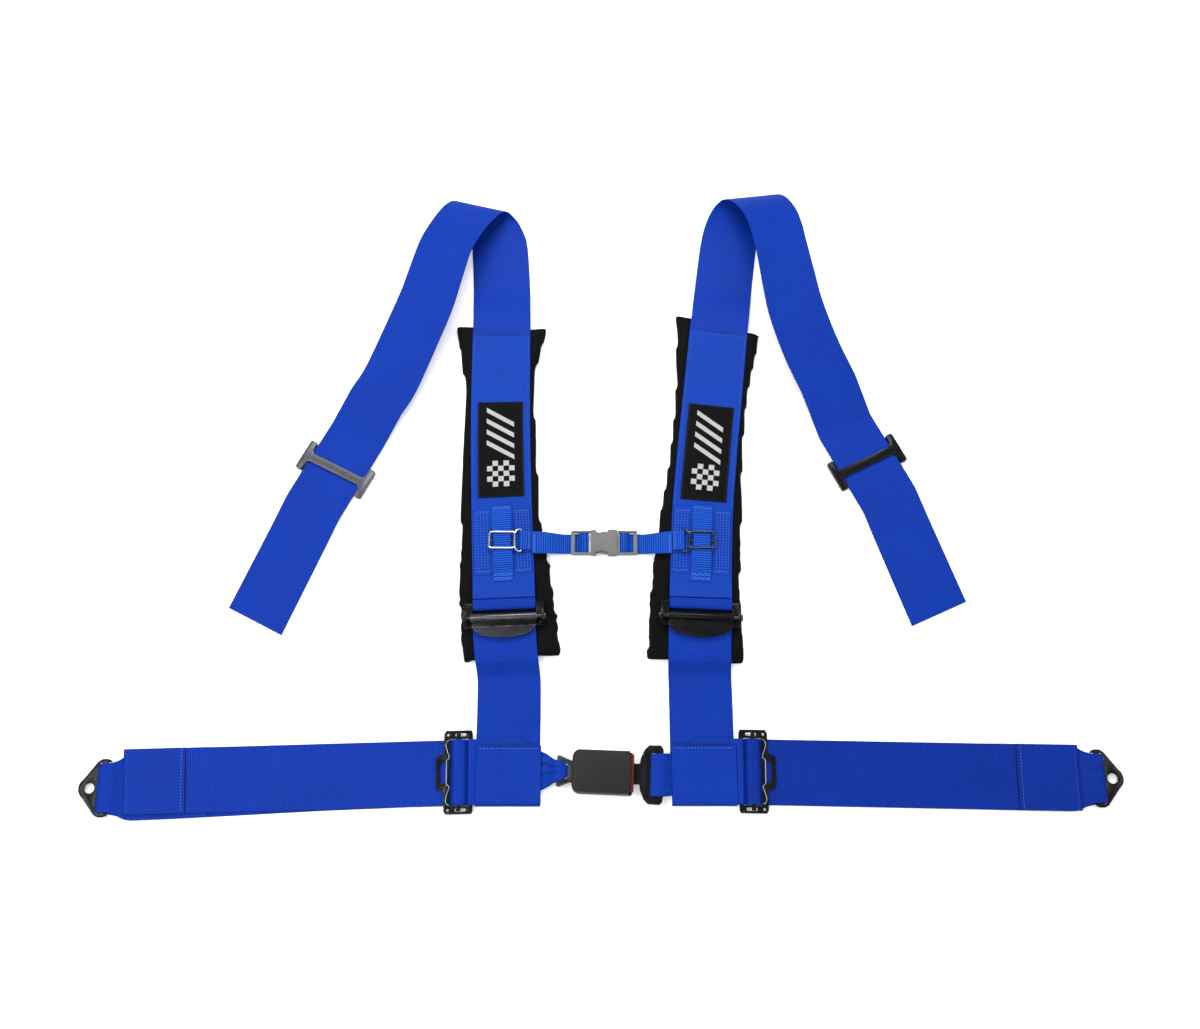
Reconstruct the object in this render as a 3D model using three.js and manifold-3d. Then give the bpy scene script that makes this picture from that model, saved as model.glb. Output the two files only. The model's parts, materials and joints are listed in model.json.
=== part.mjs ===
// Four-point racing harness, laid flat on a table: 76.2 mm webbing, padded shoulder straps, a chest
// strap and an automotive push-button buckle. Millimetres. +X to the right lap belt, +Y towards the
// shoulders, +Z up from the table.
import * as THREE from 'three';
import { mergeVertices } from 'three/addons/utils/BufferGeometryUtils.js';
import Module from 'manifold-3d';

const wasm = await Module();
wasm.setup();

// ---------------------------------------------------------------- sizes
const WEB = 76.2;                 // belt webbing width
const HALF = WEB / 2;
const T = 1.4;                    // belt webbing thickness
const CHEST = 25.4;               // chest strap width
const LAYER = [0.7, 2.4, 4.1, 5.8, 7.5];   // centre heights of stacked webbing layers
const PLATE = 2.5;                // adjuster frame steel
const BRACKET = 3.0;              // anchor bracket steel
const BOLT_R = 6.0;               // hole for a 7/16 inch anchor bolt
const CENTRE_SHIFT = [-2.15, -43.07, 0];

const LAP = {
  left: { adjuster: [-166, -321], turn: 0.028, outward: Math.PI, down: 1, bolt: 431.7, drop: 6.5, hem: 394, seam: 295 },
  right: { adjuster: [180, -320], turn: -0.0182, outward: 0, down: -1, bolt: 421.5, drop: 0.6, hem: 384, seam: 288 },
};
// centre line of each shoulder strap on its pad, as [y, x]
const STRAP = {
  left: {
    foot: -109, cam: [-116.4, -138.2], flap: 7.8,
    line: [[-190, -114.4], [-138.2, -116.4], [-90, -118.6], [-38, -121.5], [84, -127], [160, -129], [275, -130.4]],
  },
  right: {
    foot: 121, cam: [122.3, -137.5], flap: 8.7,
    line: [[-190, 119.6], [-137.5, 122.3], [-82, 124.4], [2, 129], [79, 136.8], [150, 145], [276, 159.8]],
  },
};

// ---------------------------------------------------------------- materials
const steelBlack = { color: 0x17181a, roughness: 0.38, metalness: 0.85 };
const M = {
  webbing: new THREE.MeshStandardMaterial({ color: 0x1f3fb4, roughness: 0.75, metalness: 0 }),
  narrow: new THREE.MeshStandardMaterial({ color: 0x2a62dc, roughness: 0.7, metalness: 0 }),
  pad: new THREE.MeshStandardMaterial({ color: 0x141416, roughness: 0.9, metalness: 0 }),
  label: new THREE.MeshStandardMaterial({ color: 0x101011, roughness: 0.8, metalness: 0 }),
  black: new THREE.MeshStandardMaterial(steelBlack),
  steel: new THREE.MeshStandardMaterial({ color: 0x8b8e92, roughness: 0.35, metalness: 0.95 }),
  chrome: new THREE.MeshStandardMaterial({ color: 0xd9dde2, roughness: 0.12, metalness: 1 }),
  nickel: new THREE.MeshStandardMaterial({ color: 0x4a4a4e, roughness: 0.3, metalness: 0.95 }),
  casing: new THREE.MeshStandardMaterial({ color: 0x232527, roughness: 0.5, metalness: 0 }),
  clip: new THREE.MeshStandardMaterial({ color: 0x3a3b3e, roughness: 0.45, metalness: 0 }),
  button: new THREE.MeshStandardMaterial({ color: 0x8f2018, roughness: 0.45, metalness: 0 }),
};

// ---------------------------------------------------------------- helpers
const root = new THREE.Group();
root.name = 'racing_harness';
root.position.set(...CENTRE_SHIFT);

function add(parent, name, geometry, material) {
  const mesh = new THREE.Mesh(geometry, material);
  mesh.name = name;
  parent.add(mesh);
  return mesh;
}

function group(parent, name, position = [0, 0, 0], turn = 0) {
  const g = new THREE.Group();
  g.name = name;
  g.position.set(...position);
  g.rotation.z = turn;
  parent.add(g);
  return g;
}

const lerp = (a, b, t) => a + (b - a) * t;

// x of a strap's centre line at y, and the angle its width makes with +X
function lineAt(side, y) {
  const k = STRAP[side].line;
  const n = k.length;
  const slope = (i) => {
    const [a, b] = [Math.max(i - 1, 0), Math.min(i + 1, n - 1)];
    return (k[b][1] - k[a][1]) / (k[b][0] - k[a][0]);
  };
  let i = 0;
  while (i < n - 2 && y > k[i + 1][0]) i += 1;
  const h = k[i + 1][0] - k[i][0];
  const t = (y - k[i][0]) / h;
  const [h00, h10] = [2 * t ** 3 - 3 * t ** 2 + 1, t ** 3 - 2 * t ** 2 + t];
  const [h01, h11] = [3 * t ** 2 - 2 * t ** 3, t ** 3 - t ** 2];
  return h00 * k[i][1] + h10 * h * slope(i) + h01 * k[i + 1][1] + h11 * h * slope(i + 1);
}
const leanAt = (side, y) => -Math.atan((lineAt(side, y + 0.5) - lineAt(side, y - 0.5)));

// points of an arc in a plane, angles in degrees, both ends included
function arc(cx, cz, r, from, to, steps) {
  const points = [];
  for (let i = 0; i <= steps; i += 1) {
    const a = THREE.MathUtils.degToRad(lerp(from, to, i / steps));
    points.push([cx + r * Math.cos(a), cz + r * Math.sin(a)]);
  }
  return points;
}

// A band of webbing: each station has a centre p and the vector a from the centre to one edge.
function band(stations, thickness = T) {
  const n = stations.length;
  const p = stations.map((s) => new THREE.Vector3(...s.p));
  const a = stations.map((s) => new THREE.Vector3(...s.a));
  const position = [];
  for (let i = 0; i < n; i += 1) {
    const before = p[i].clone().sub(p[Math.max(i - 1, 0)]);
    const after = p[Math.min(i + 1, n - 1)].clone().sub(p[i]);
    if (before.length() > 0) before.normalize();
    if (after.length() > 0) after.normalize();
    const along = before.add(after).normalize();
    const up = along.cross(a[i]).normalize().multiplyScalar(thickness / 2);
    for (const [side, lift] of [[-1, -1], [1, -1], [1, 1], [-1, 1]]) {
      const v = p[i].clone().addScaledVector(a[i], side).addScaledVector(up, lift);
      position.push(v.x, v.y, v.z);
    }
  }
  const index = [];
  for (let i = 0; i < n - 1; i += 1) {
    for (let k = 0; k < 4; k += 1) {
      const q = [i * 4 + k, i * 4 + (k + 1) % 4, (i + 1) * 4 + (k + 1) % 4, (i + 1) * 4 + k];
      index.push(q[0], q[2], q[1], q[0], q[3], q[2]);
    }
  }
  const e = (n - 1) * 4;
  index.push(0, 1, 2, 0, 2, 3, e, e + 2, e + 1, e, e + 3, e + 2);
  return closedBody(position, index);
}

// geometry from a closed shell, its faces turned to point out
function closedBody(position, index) {
  const geometry = new THREE.BufferGeometry();
  geometry.setAttribute('position', new THREE.Float32BufferAttribute(position, 3));
  geometry.setIndex(index);
  if (signedVolume(geometry) < 0) {
    for (let i = 0; i < index.length; i += 3) [index[i], index[i + 1]] = [index[i + 1], index[i]];
    geometry.setIndex(index);
  }
  geometry.computeVertexNormals();
  return geometry;
}

function signedVolume(geometry) {
  const pos = geometry.getAttribute('position');
  const idx = geometry.getIndex().array;
  const [a, b, c] = [new THREE.Vector3(), new THREE.Vector3(), new THREE.Vector3()];
  let sum = 0;
  for (let i = 0; i < idx.length; i += 3) {
    a.fromBufferAttribute(pos, idx[i]);
    b.fromBufferAttribute(pos, idx[i + 1]);
    c.fromBufferAttribute(pos, idx[i + 2]);
    sum += a.dot(b.cross(c));
  }
  return sum / 6;
}

// solids for boolean work
function solid(geometry) {
  const clean = geometry.clone();
  for (const key of Object.keys(clean.attributes)) {
    if (key !== 'position') clean.deleteAttribute(key);
  }
  const merged = mergeVertices(clean, 1e-4);
  return new wasm.Manifold(new wasm.Mesh({
    numProp: 3,
    vertProperties: new Float32Array(merged.getAttribute('position').array),
    triVerts: new Uint32Array(merged.getIndex().array),
  }));
}

function toGeometry(manifold) {
  const mesh = manifold.getMesh();
  const geometry = new THREE.BufferGeometry();
  geometry.setAttribute('position', new THREE.Float32BufferAttribute(new Float32Array(mesh.vertProperties), 3));
  geometry.setIndex(Array.from(mesh.triVerts));
  geometry.computeVertexNormals();
  return geometry;
}

const union = (...parts) => parts.reduce((sum, part) => sum.add(part));

function box(x0, x1, y0, y1, z0, z1) {
  const g = new THREE.BoxGeometry(x1 - x0, y1 - y0, z1 - z0);
  g.translate((x0 + x1) / 2, (y0 + y1) / 2, (z0 + z1) / 2);
  return solid(g);
}

function plateGeometry(outline, holes, z0, thickness, bevel = 0) {
  const shape = new THREE.Shape(outline.map(([x, y]) => new THREE.Vector2(x, y)));
  for (const hole of holes) {
    shape.holes.push(new THREE.Path(hole.map(([x, y]) => new THREE.Vector2(x, y))));
  }
  const options = { depth: thickness - 2 * bevel, bevelEnabled: bevel > 0, curveSegments: 8 };
  if (bevel > 0) {
    Object.assign(options, { bevelThickness: bevel, bevelSize: bevel, bevelOffset: -bevel, bevelSegments: 2 });
  }
  const g = new THREE.ExtrudeGeometry(shape, options);
  g.translate(0, 0, z0 + bevel);
  return g;
}

const plate = (outline, holes, z0, thickness, bevel = 0) => solid(plateGeometry(outline, holes, z0, thickness, bevel));

function rect(x0, x1, y0, y1) {
  return [[x0, y0], [x1, y0], [x1, y1], [x0, y1]];
}

function roundRect(x0, x1, y0, y1, r, steps = 3) {
  return [
    ...arc(x1 - r, y1 - r, r, 0, 90, steps), ...arc(x0 + r, y1 - r, r, 90, 180, steps),
    ...arc(x0 + r, y0 + r, r, 180, 270, steps), ...arc(x1 - r, y0 + r, r, 270, 360, steps),
  ];
}

const circle = (x, y, r, steps = 16) => arc(x, y, r, 0, 360, steps).slice(0, -1);

// a round bar between two points
function rod(from, to, r, sides = 10) {
  const [p, q] = [new THREE.Vector3(...from), new THREE.Vector3(...to)];
  const along = q.clone().sub(p);
  const g = new THREE.CylinderGeometry(r, r, along.length(), sides);
  g.applyQuaternion(new THREE.Quaternion().setFromUnitVectors(new THREE.Vector3(0, 1, 0), along.clone().normalize()));
  g.translate((p.x + q.x) / 2, (p.y + q.y) / 2, (p.z + q.z) / 2);
  return solid(g);
}

// round wire bent through the given points, with mitred bends
function wire(points, r, sides = 8, closed = false) {
  const p = points.map((q) => new THREE.Vector3(...q));
  const n = p.length;
  const count = closed ? n : n - 1;
  const dir = [];
  for (let i = 0; i < count; i += 1) dir.push(p[(i + 1) % n].clone().sub(p[i]).normalize());
  const planeAt = (i) => {
    const [before, after] = [dir[(i - 1 + count) % count], dir[i % count]];
    if (!closed && i === 0) return after.clone();
    if (!closed && i === n - 1) return before.clone();
    return before.clone().add(after).normalize();
  };
  const slideTo = (v, along, at, normal) => {
    const t = at.clone().sub(v).dot(normal) / along.dot(normal);
    return v.clone().addScaledVector(along, t);
  };
  const helper = Math.abs(dir[0].z) < 0.9 ? new THREE.Vector3(0, 0, 1) : new THREE.Vector3(1, 0, 0);
  const u = dir[0].clone().cross(helper).normalize();
  const w = dir[0].clone().cross(u);
  let ring = [];
  for (let k = 0; k < sides; k += 1) {
    const a = 2 * Math.PI * (k + 0.5) / sides;
    const v = p[0].clone().addScaledVector(u, r * Math.cos(a)).addScaledVector(w, r * Math.sin(a));
    ring.push(slideTo(v, dir[0], p[0], planeAt(0)));
  }
  const position = ring.flatMap((v) => v.toArray());
  const index = [];
  for (let i = 0; i < count; i += 1) {
    const last = closed && i === count - 1;
    ring = ring.map((v) => slideTo(v, dir[i], p[(i + 1) % n], planeAt((i + 1) % n)));
    if (!last) position.push(...ring.flatMap((v) => v.toArray()));
    const [a, b] = [i * sides, last ? 0 : (i + 1) * sides];
    for (let k = 0; k < sides; k += 1) {
      const m = (k + 1) % sides;
      index.push(a + k, b + m, a + m, a + k, b + k, b + m);
    }
  }
  if (!closed) {
    const e = count * sides;
    for (let k = 1; k < sides - 1; k += 1) index.push(0, k, k + 1, e, e + k + 1, e + k);
  }
  return closedBody(position, index);
}

function spring(at, axisX, radius, wireR, length, turns) {
  class Coil extends THREE.Curve {
    getPoint(t, target = new THREE.Vector3()) {
      const a = 2 * Math.PI * turns * t;
      const [u, v] = [radius * Math.cos(a), radius * Math.sin(a)];
      return axisX ? target.set(length * t, u, v) : target.set(u, length * t, v);
    }
  }
  const shape = new THREE.Shape(circle(0, 0, wireR, 5).map(([x, y]) => new THREE.Vector2(x, y)));
  const g = new THREE.ExtrudeGeometry(shape, { steps: Math.round(turns * 9), extrudePath: new Coil() });
  g.translate(...at);
  return g;
}

// ---------------------------------------------------------------- lap belts
// Local frame of a side: +x from the adjuster out to the anchor, z up.
const BAR = -16.5;          // bracket's inner bar, from the bolt hole

function lapSide(side) {
  const s = LAP[side];
  const g = group(root, `lap_${side}`, [...s.adjuster, 0], s.outward + s.turn);
  const loopX = s.bolt + BAR;
  const shift = (x) => s.down * s.drop * THREE.MathUtils.smoothstep(x, 60, loopX);
  const half = (x) => HALF - (HALF - 28.2) * THREE.MathUtils.smoothstep(x, s.hem - 6, loopX - 8);
  const station = (x, z, y = 0, h = HALF) => ({ p: [x, y, z], a: [0, h, 0] });

  // anchor layer's sewn end, round the bracket's bar, in to the adjuster, round its bar, out to the hem
  const path = [];
  const anchor = (x, z) => path.push(station(x, z, shift(x), half(x)));
  for (const x of [s.seam, s.hem - 40, s.hem - 8, s.hem]) anchor(x, LAYER[1]);
  anchor(s.hem + 4, 3.4);
  anchor(s.hem + 11, 7.6);
  for (const [x, z] of arc(loopX, 5, 4.25, 105, -90, 9)) anchor(x, z);
  for (const x of [loopX - 8, s.hem + 4, s.hem - 4, s.hem - 60, 260, 160, 60]) anchor(x, LAYER[0]);
  for (const [x, z] of [[2, 0.7], [-3.6, 0.9], [-6.4, 2.6], [-7.3, 5], [-6.2, 7.7], [-3.4, 8.7], [3, 8.7]]) {
    path.push(station(x, z));
  }
  for (const [x, z] of [[6.0, 7.7], [7.0, 5.6], [7.6, 3.8], [9.3, 2.55], [12, LAYER[1]], [60, LAYER[1]]]) {
    path.push(station(x, z));
  }
  for (const [x, z] of [[160, LAYER[1]], [s.seam - 12, LAYER[1]], [s.seam + 1, LAYER[2] + 0.1]]) {
    path.push(station(x, z));
  }
  for (const [x, z] of [[s.hem - 40, LAYER[2]], [s.hem - 1.2, LAYER[2]]]) path.push(station(x, z));
  path.push(station(s.hem, (LAYER[2] + LAYER[3]) / 2));
  for (const [x, z] of [[s.hem - 1.2, LAYER[3]], [s.hem - 73, LAYER[3]]]) path.push(station(x, z));
  add(g, `lap_webbing_${side}`, band(path), M.webbing);

  // adjuster frame: cross bars, slotted ears, lift tab with its window
  const earIn = 38.9;
  const outline = [
    [-16.5, -45.5], [-14.5, -47.5], [15, -47.5], [17.5, -45], [17.5, -24], [19, -20.5], [24.5, -19.3],
    [26.7, -17], [26.7, 17], [24.5, 19.3], [19, 20.5], [17.5, 24], [17.5, 45], [15, 47.5], [-14.5, 47.5],
    [-16.5, 45.5],
  ];
  const holes = [
    rect(-11.4, 10.2, -earIn, earIn).reverse(),
    roundRect(13.4, 22, -12.5, 12.5, 2).reverse(),
  ];
  for (const sign of [-1, 1]) {
    holes.push(circle(12.6, sign * 43.4, 1.7, 10).reverse());
    holes.push(roundRect(-8.6, 4.6, sign * 43.4 - 1.9, sign * 43.4 + 1.9, 1.8).reverse());
  }
  const frame = union(
    plate(outline, holes, 3.5, PLATE),
    box(-15.5, 15.5, 46.4, 48.2, 4, 8.6), box(-15.5, 15.5, -48.2, -46.4, 4, 8.6),
  );
  add(g, `lap_adjuster_frame_${side}`, toGeometry(frame), M.black);

  // slide bar: clamps the webbing on the cross bar; its turned-down ends run in the ears' slots
  const slideBar = union(
    box(-3.4, 3.4, -38.4, 38.4, 2.8, 7.4), box(-2.6, 2.6, -45.1, 45.1, 6.4, 7.4),
    box(-2, 2, -44.8, -42, 3.2, 7.2), box(-2, 2, 42, 44.8, 3.2, 7.2),
  );
  add(g, `lap_adjuster_bar_${side}`, toGeometry(slideBar), M.black);

  // bent wire spring lying on the outer cross bar
  const wireZ = 6.95;
  const half1 = [[9.6 + 1.6, 37.6], [13.8, 36.2], [15.4, 32], [13.6, 25], [11.2, 18.5], [11.4, 15.6], [14.4, 14.4]];
  const points = [
    ...half1.map(([x, y]) => [x, y, wireZ]),
    ...half1.map(([x, y]) => [x, -y, wireZ]).reverse(),
  ];
  add(g, `lap_adjuster_spring_${side}`, wire(points, 0.6, 6), M.chrome);

  // anchor bracket
  const b = group(g, `anchor_${side}`, [s.bolt, s.down * s.drop, 0]);
  const tip = arc(0, 0, 13, -52, 52, 8);
  const lobe = [[-7.9, 31], [-12.5, 33.5], [-18.5, 33.5], [-22.5, 32], [-23.5, 29.4]];
  const bracketOutline = [
    ...lobe.map(([x, y]) => [x, -y]).reverse(), ...tip, ...lobe,
    [-19.5, 29.4], [-19.5, -29.4],
  ];
  const bracketHoles = [
    circle(0, 0, BOLT_R, 24).reverse(),
    roundRect(BAR + 3, BAR + 7.6, -29, 29, 1.5).reverse(),
  ];
  const bracket = plateGeometry(bracketOutline, bracketHoles, 3.5, BRACKET, 0.5);
  add(b, `anchor_bracket_${side}`, toGeometry(solid(bracket)), M.black);
}

// ---------------------------------------------------------------- inboard lap webbing
const BUCKLE = { centre: [3, -322], turn: -0.04 };

// world point of a place in the buckle's own frame
function inBuckle(x, y) {
  const [c, s] = [Math.cos(BUCKLE.turn), Math.sin(BUCKLE.turn)];
  return [BUCKLE.centre[0] + c * x - s * y, BUCKLE.centre[1] + s * x + c * y];
}

function inboardWebbing(side, loopAt, loopHalf, taper) {
  const s = LAP[side];
  const sign = side === 'left' ? 1 : -1;       // direction from the adjuster to the buckle
  const [ax, ay] = s.adjuster;
  const slope = Math.tan(s.turn);
  const barX = ax + sign * 14;
  const [lx, ly] = inBuckle(...loopAt);
  const run = sign * (lx - barX);
  const blend = (x) => THREE.MathUtils.smoothstep(sign * (x - barX), run - 55, run);
  const yAt = (x) => lerp(ay + (x - ax) * slope, ly, blend(x));
  const half = (x) => lerp(HALF, loopHalf, THREE.MathUtils.smoothstep(sign * (x - lx), -taper, -5));
  const path = [];
  const put = (d, z, from = barX) => {
    const x = from + sign * d;
    const turn = lerp(slope, BUCKLE.turn, blend(x));
    const h = half(x);
    path.push({ p: [x, yAt(x), z], a: [-h * Math.sin(turn), h * Math.cos(turn), 0] });
  };
  put(41, LAYER[1]);
  put(6, LAYER[1]);
  for (const [x, z] of arc(0, 4.8, 2.75, -90, -180, 3)) put(x * 1.7, z - 0.02);
  for (const [x, z] of arc(0, 4.75, 2.75, 165, 90, 3)) put(x * 1.72, z);
  put(3.6, 6.7);
  put(7.4, 5.0);
  put(12, LAYER[2]);
  put(run - 34, LAYER[2]);
  for (const [d, z] of [[17, 5.4], [11.6, 7.6], [7.8, 10.8], [4.6, 12.5]]) put(run - d, z);
  for (const [x, z] of arc(0, 9, 3.7, 90, -90, 8)) put(x, z, lx);
  for (const [d, z] of [[4.6, 5.4], [9, 4.9], [17, 3.4], [27, LAYER[1]]]) put(run - d, z);
  put(44, LAYER[1]);
  add(root, `inboard_webbing_${side}`, band(path), M.webbing);
}

// ---------------------------------------------------------------- push-button buckle
// Local frame: origin on the table under the casing's centre, +x out along the tongue.
const CASE = { x0: -35.5, x1: 35.5, half: 24.8, top: 24, split: 9.2 };

function buckle() {
  const g = group(root, 'buckle', [...BUCKLE.centre, 0], BUCKLE.turn);
  const shell = [
    ...arc(CASE.x0 + 9, CASE.half - 9, 9, 100, 180, 4), ...arc(CASE.x0 + 9, -CASE.half + 9, 9, 180, 260, 4),
    [CASE.x1 - 2, -CASE.half], [CASE.x1, -CASE.half + 2], [CASE.x1, CASE.half - 2], [CASE.x1 - 2, CASE.half],
  ];
  const inner = rect(CASE.x0 + 3, CASE.x1 - 2.2, -CASE.half + 2.2, CASE.half - 2.2);

  const mouth = (z0, z1, half) => box(CASE.x1 - 4, CASE.x1 + 2, -half, half, z0, z1);
  const neck = (z0, z1) => box(CASE.x0 - 2, CASE.x0 + 5, -13.4, 13.4, z0, z1);
  const top = plate(shell, [], CASE.split, CASE.top - CASE.split, 2.2)
    .add(plate(shell, [], CASE.split, 5))
    .subtract(plate(inner, [], CASE.split - 1, CASE.top - 2.4 - CASE.split + 1))
    .subtract(mouth(CASE.split - 1, 20.8, 21.6))
    .subtract(plate(circle(CASE.x1 + 13.5, 0, 16.5, 24), [], 16, 12))
    .subtract(neck(CASE.split - 1, 10.9));
  add(g, 'buckle_cover_top', toGeometry(top), M.casing);

  const bottom = plate(shell, [], 0, CASE.split - 0.3, 1.5)
    .add(plate(shell, [], 4, CASE.split - 0.3 - 4))
    .subtract(plate(inner, [], 2.2, CASE.split))
    .subtract(mouth(6.9, CASE.split, 13.2))
    .subtract(neck(6.9, CASE.split));
  add(g, 'buckle_cover_bottom', toGeometry(bottom), M.casing);

  // steel anchor plate for the left webbing
  const anchorOutline = [
    [-54, -16.5], [-52.4, -18.4], [-49.4, -18], [-42, -14.5], [-36.5, -12.8], [-20, -12.8], [-12, -12.8],
    [-12, 12.8], [-20, 12.8], [-36.5, 12.8], [-42, 14.5], [-49.4, 18], [-52.4, 18.4], [-54, 16.5],
  ];
  const anchorHoles = [roundRect(-46.6, -40.2, -13, 13, 1.5).reverse(), circle(-22, 0, 3.3, 16).reverse()];
  add(g, 'buckle_anchor_plate', plateGeometry(anchorOutline, anchorHoles, 7.5, 3, 0.5), M.steel);

  // inner frame under the tongue, with a riveted end and two side walls
  const frame = union(
    plate(rect(-30, 30, -17, 17), [circle(-22, 0, 3.3, 16).reverse()], 3.9, 2.2),
    box(-8, 27, 15, 17, 5, 15.5), box(-8, 27, -17, -15, 5, 15.5),
  );
  const pivotHole = rod([-3, -20, 13.4], [-3, 20, 13.4], 1.6, 16);
  add(g, 'buckle_frame', toGeometry(frame.subtract(pivotHole)), M.steel);
  const rivet = union(
    rod([-22, 0, 3.2], [-22, 0, 12.4], 3, 16), rod([-22, 0, 2.6], [-22, 0, 3.6], 4.6, 16),
    rod([-22, 0, 11.0], [-22, 0, 12.6], 4.6, 16),
  );
  add(g, 'buckle_rivet', toGeometry(rivet), M.steel);

  // latch: swings up about its cross pin; its tooth stands in the tongue's window
  const latch = union(
    plate([[-5.5, -10], [21, -8], [21, 8], [-5.5, 10]], [], 12.3, 2.1),
    box(15.2, 19.2, -5.6, 5.6, 8.4, 13), rod([-3, -16.4, 13.4], [-3, 16.4, 13.4], 1.3, 16),
  );
  add(g, 'buckle_latch', toGeometry(latch), M.steel);

  // ejector and its spring behind the tongue's tip
  add(g, 'buckle_ejector', toGeometry(box(3.4, 9.4, -8, 8, 7.2, 10.6)), M.clip);
  add(g, 'buckle_ejector_spring', spring([-11, 0, 8.9], true, 2.1, 0.45, 13.4, 6), M.steel);

  // press button: red face, two arms running back in the casing
  const button = union(
    box(32.6, 36.6, -21.2, 21.2, 11.4, 20.4), box(17, 34, 18.4, 21.2, 11.4, 17.5),
    box(17, 34, -21.2, -18.4, 11.4, 17.5), box(24.4, 34, -5, 5, 18.1, 20.2),
  );
  add(g, 'buckle_button', toGeometry(button), M.button);
  for (const sign of [-1, 1]) {
    const name = `buckle_button_spring_${sign > 0 ? 'upper' : 'lower'}`;
    add(g, name, spring([3.2, sign * 19.8, 14.2], true, 1.3, 0.35, 13.2, 7), M.steel);
  }
}

function tongue() {
  const g = group(root, 'tongue', [...BUCKLE.centre, 0], BUCKLE.turn);
  const outline = [
    [10, -9], [13, -12], [43.5, -12], [44.5, -19], [49, -29], [54, -34], [67.5, -34.3], [70.6, -31], [71.4, -26],
    [71.4, 26], [70.6, 31], [67.5, 34.3], [54, 34], [49, 29], [44.5, 19], [43.5, 12], [13, 12], [10, 9],
  ];
  const holes = [
    rect(14.3, 20.6, -6.4, 6.4).reverse(), roundRect(56.4, 63.4, -26.2, 26.2, 2).reverse(),
  ];
  add(g, 'tongue_plate', plateGeometry(outline, holes, 7.5, 3, 0.5), M.black);
}

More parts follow.
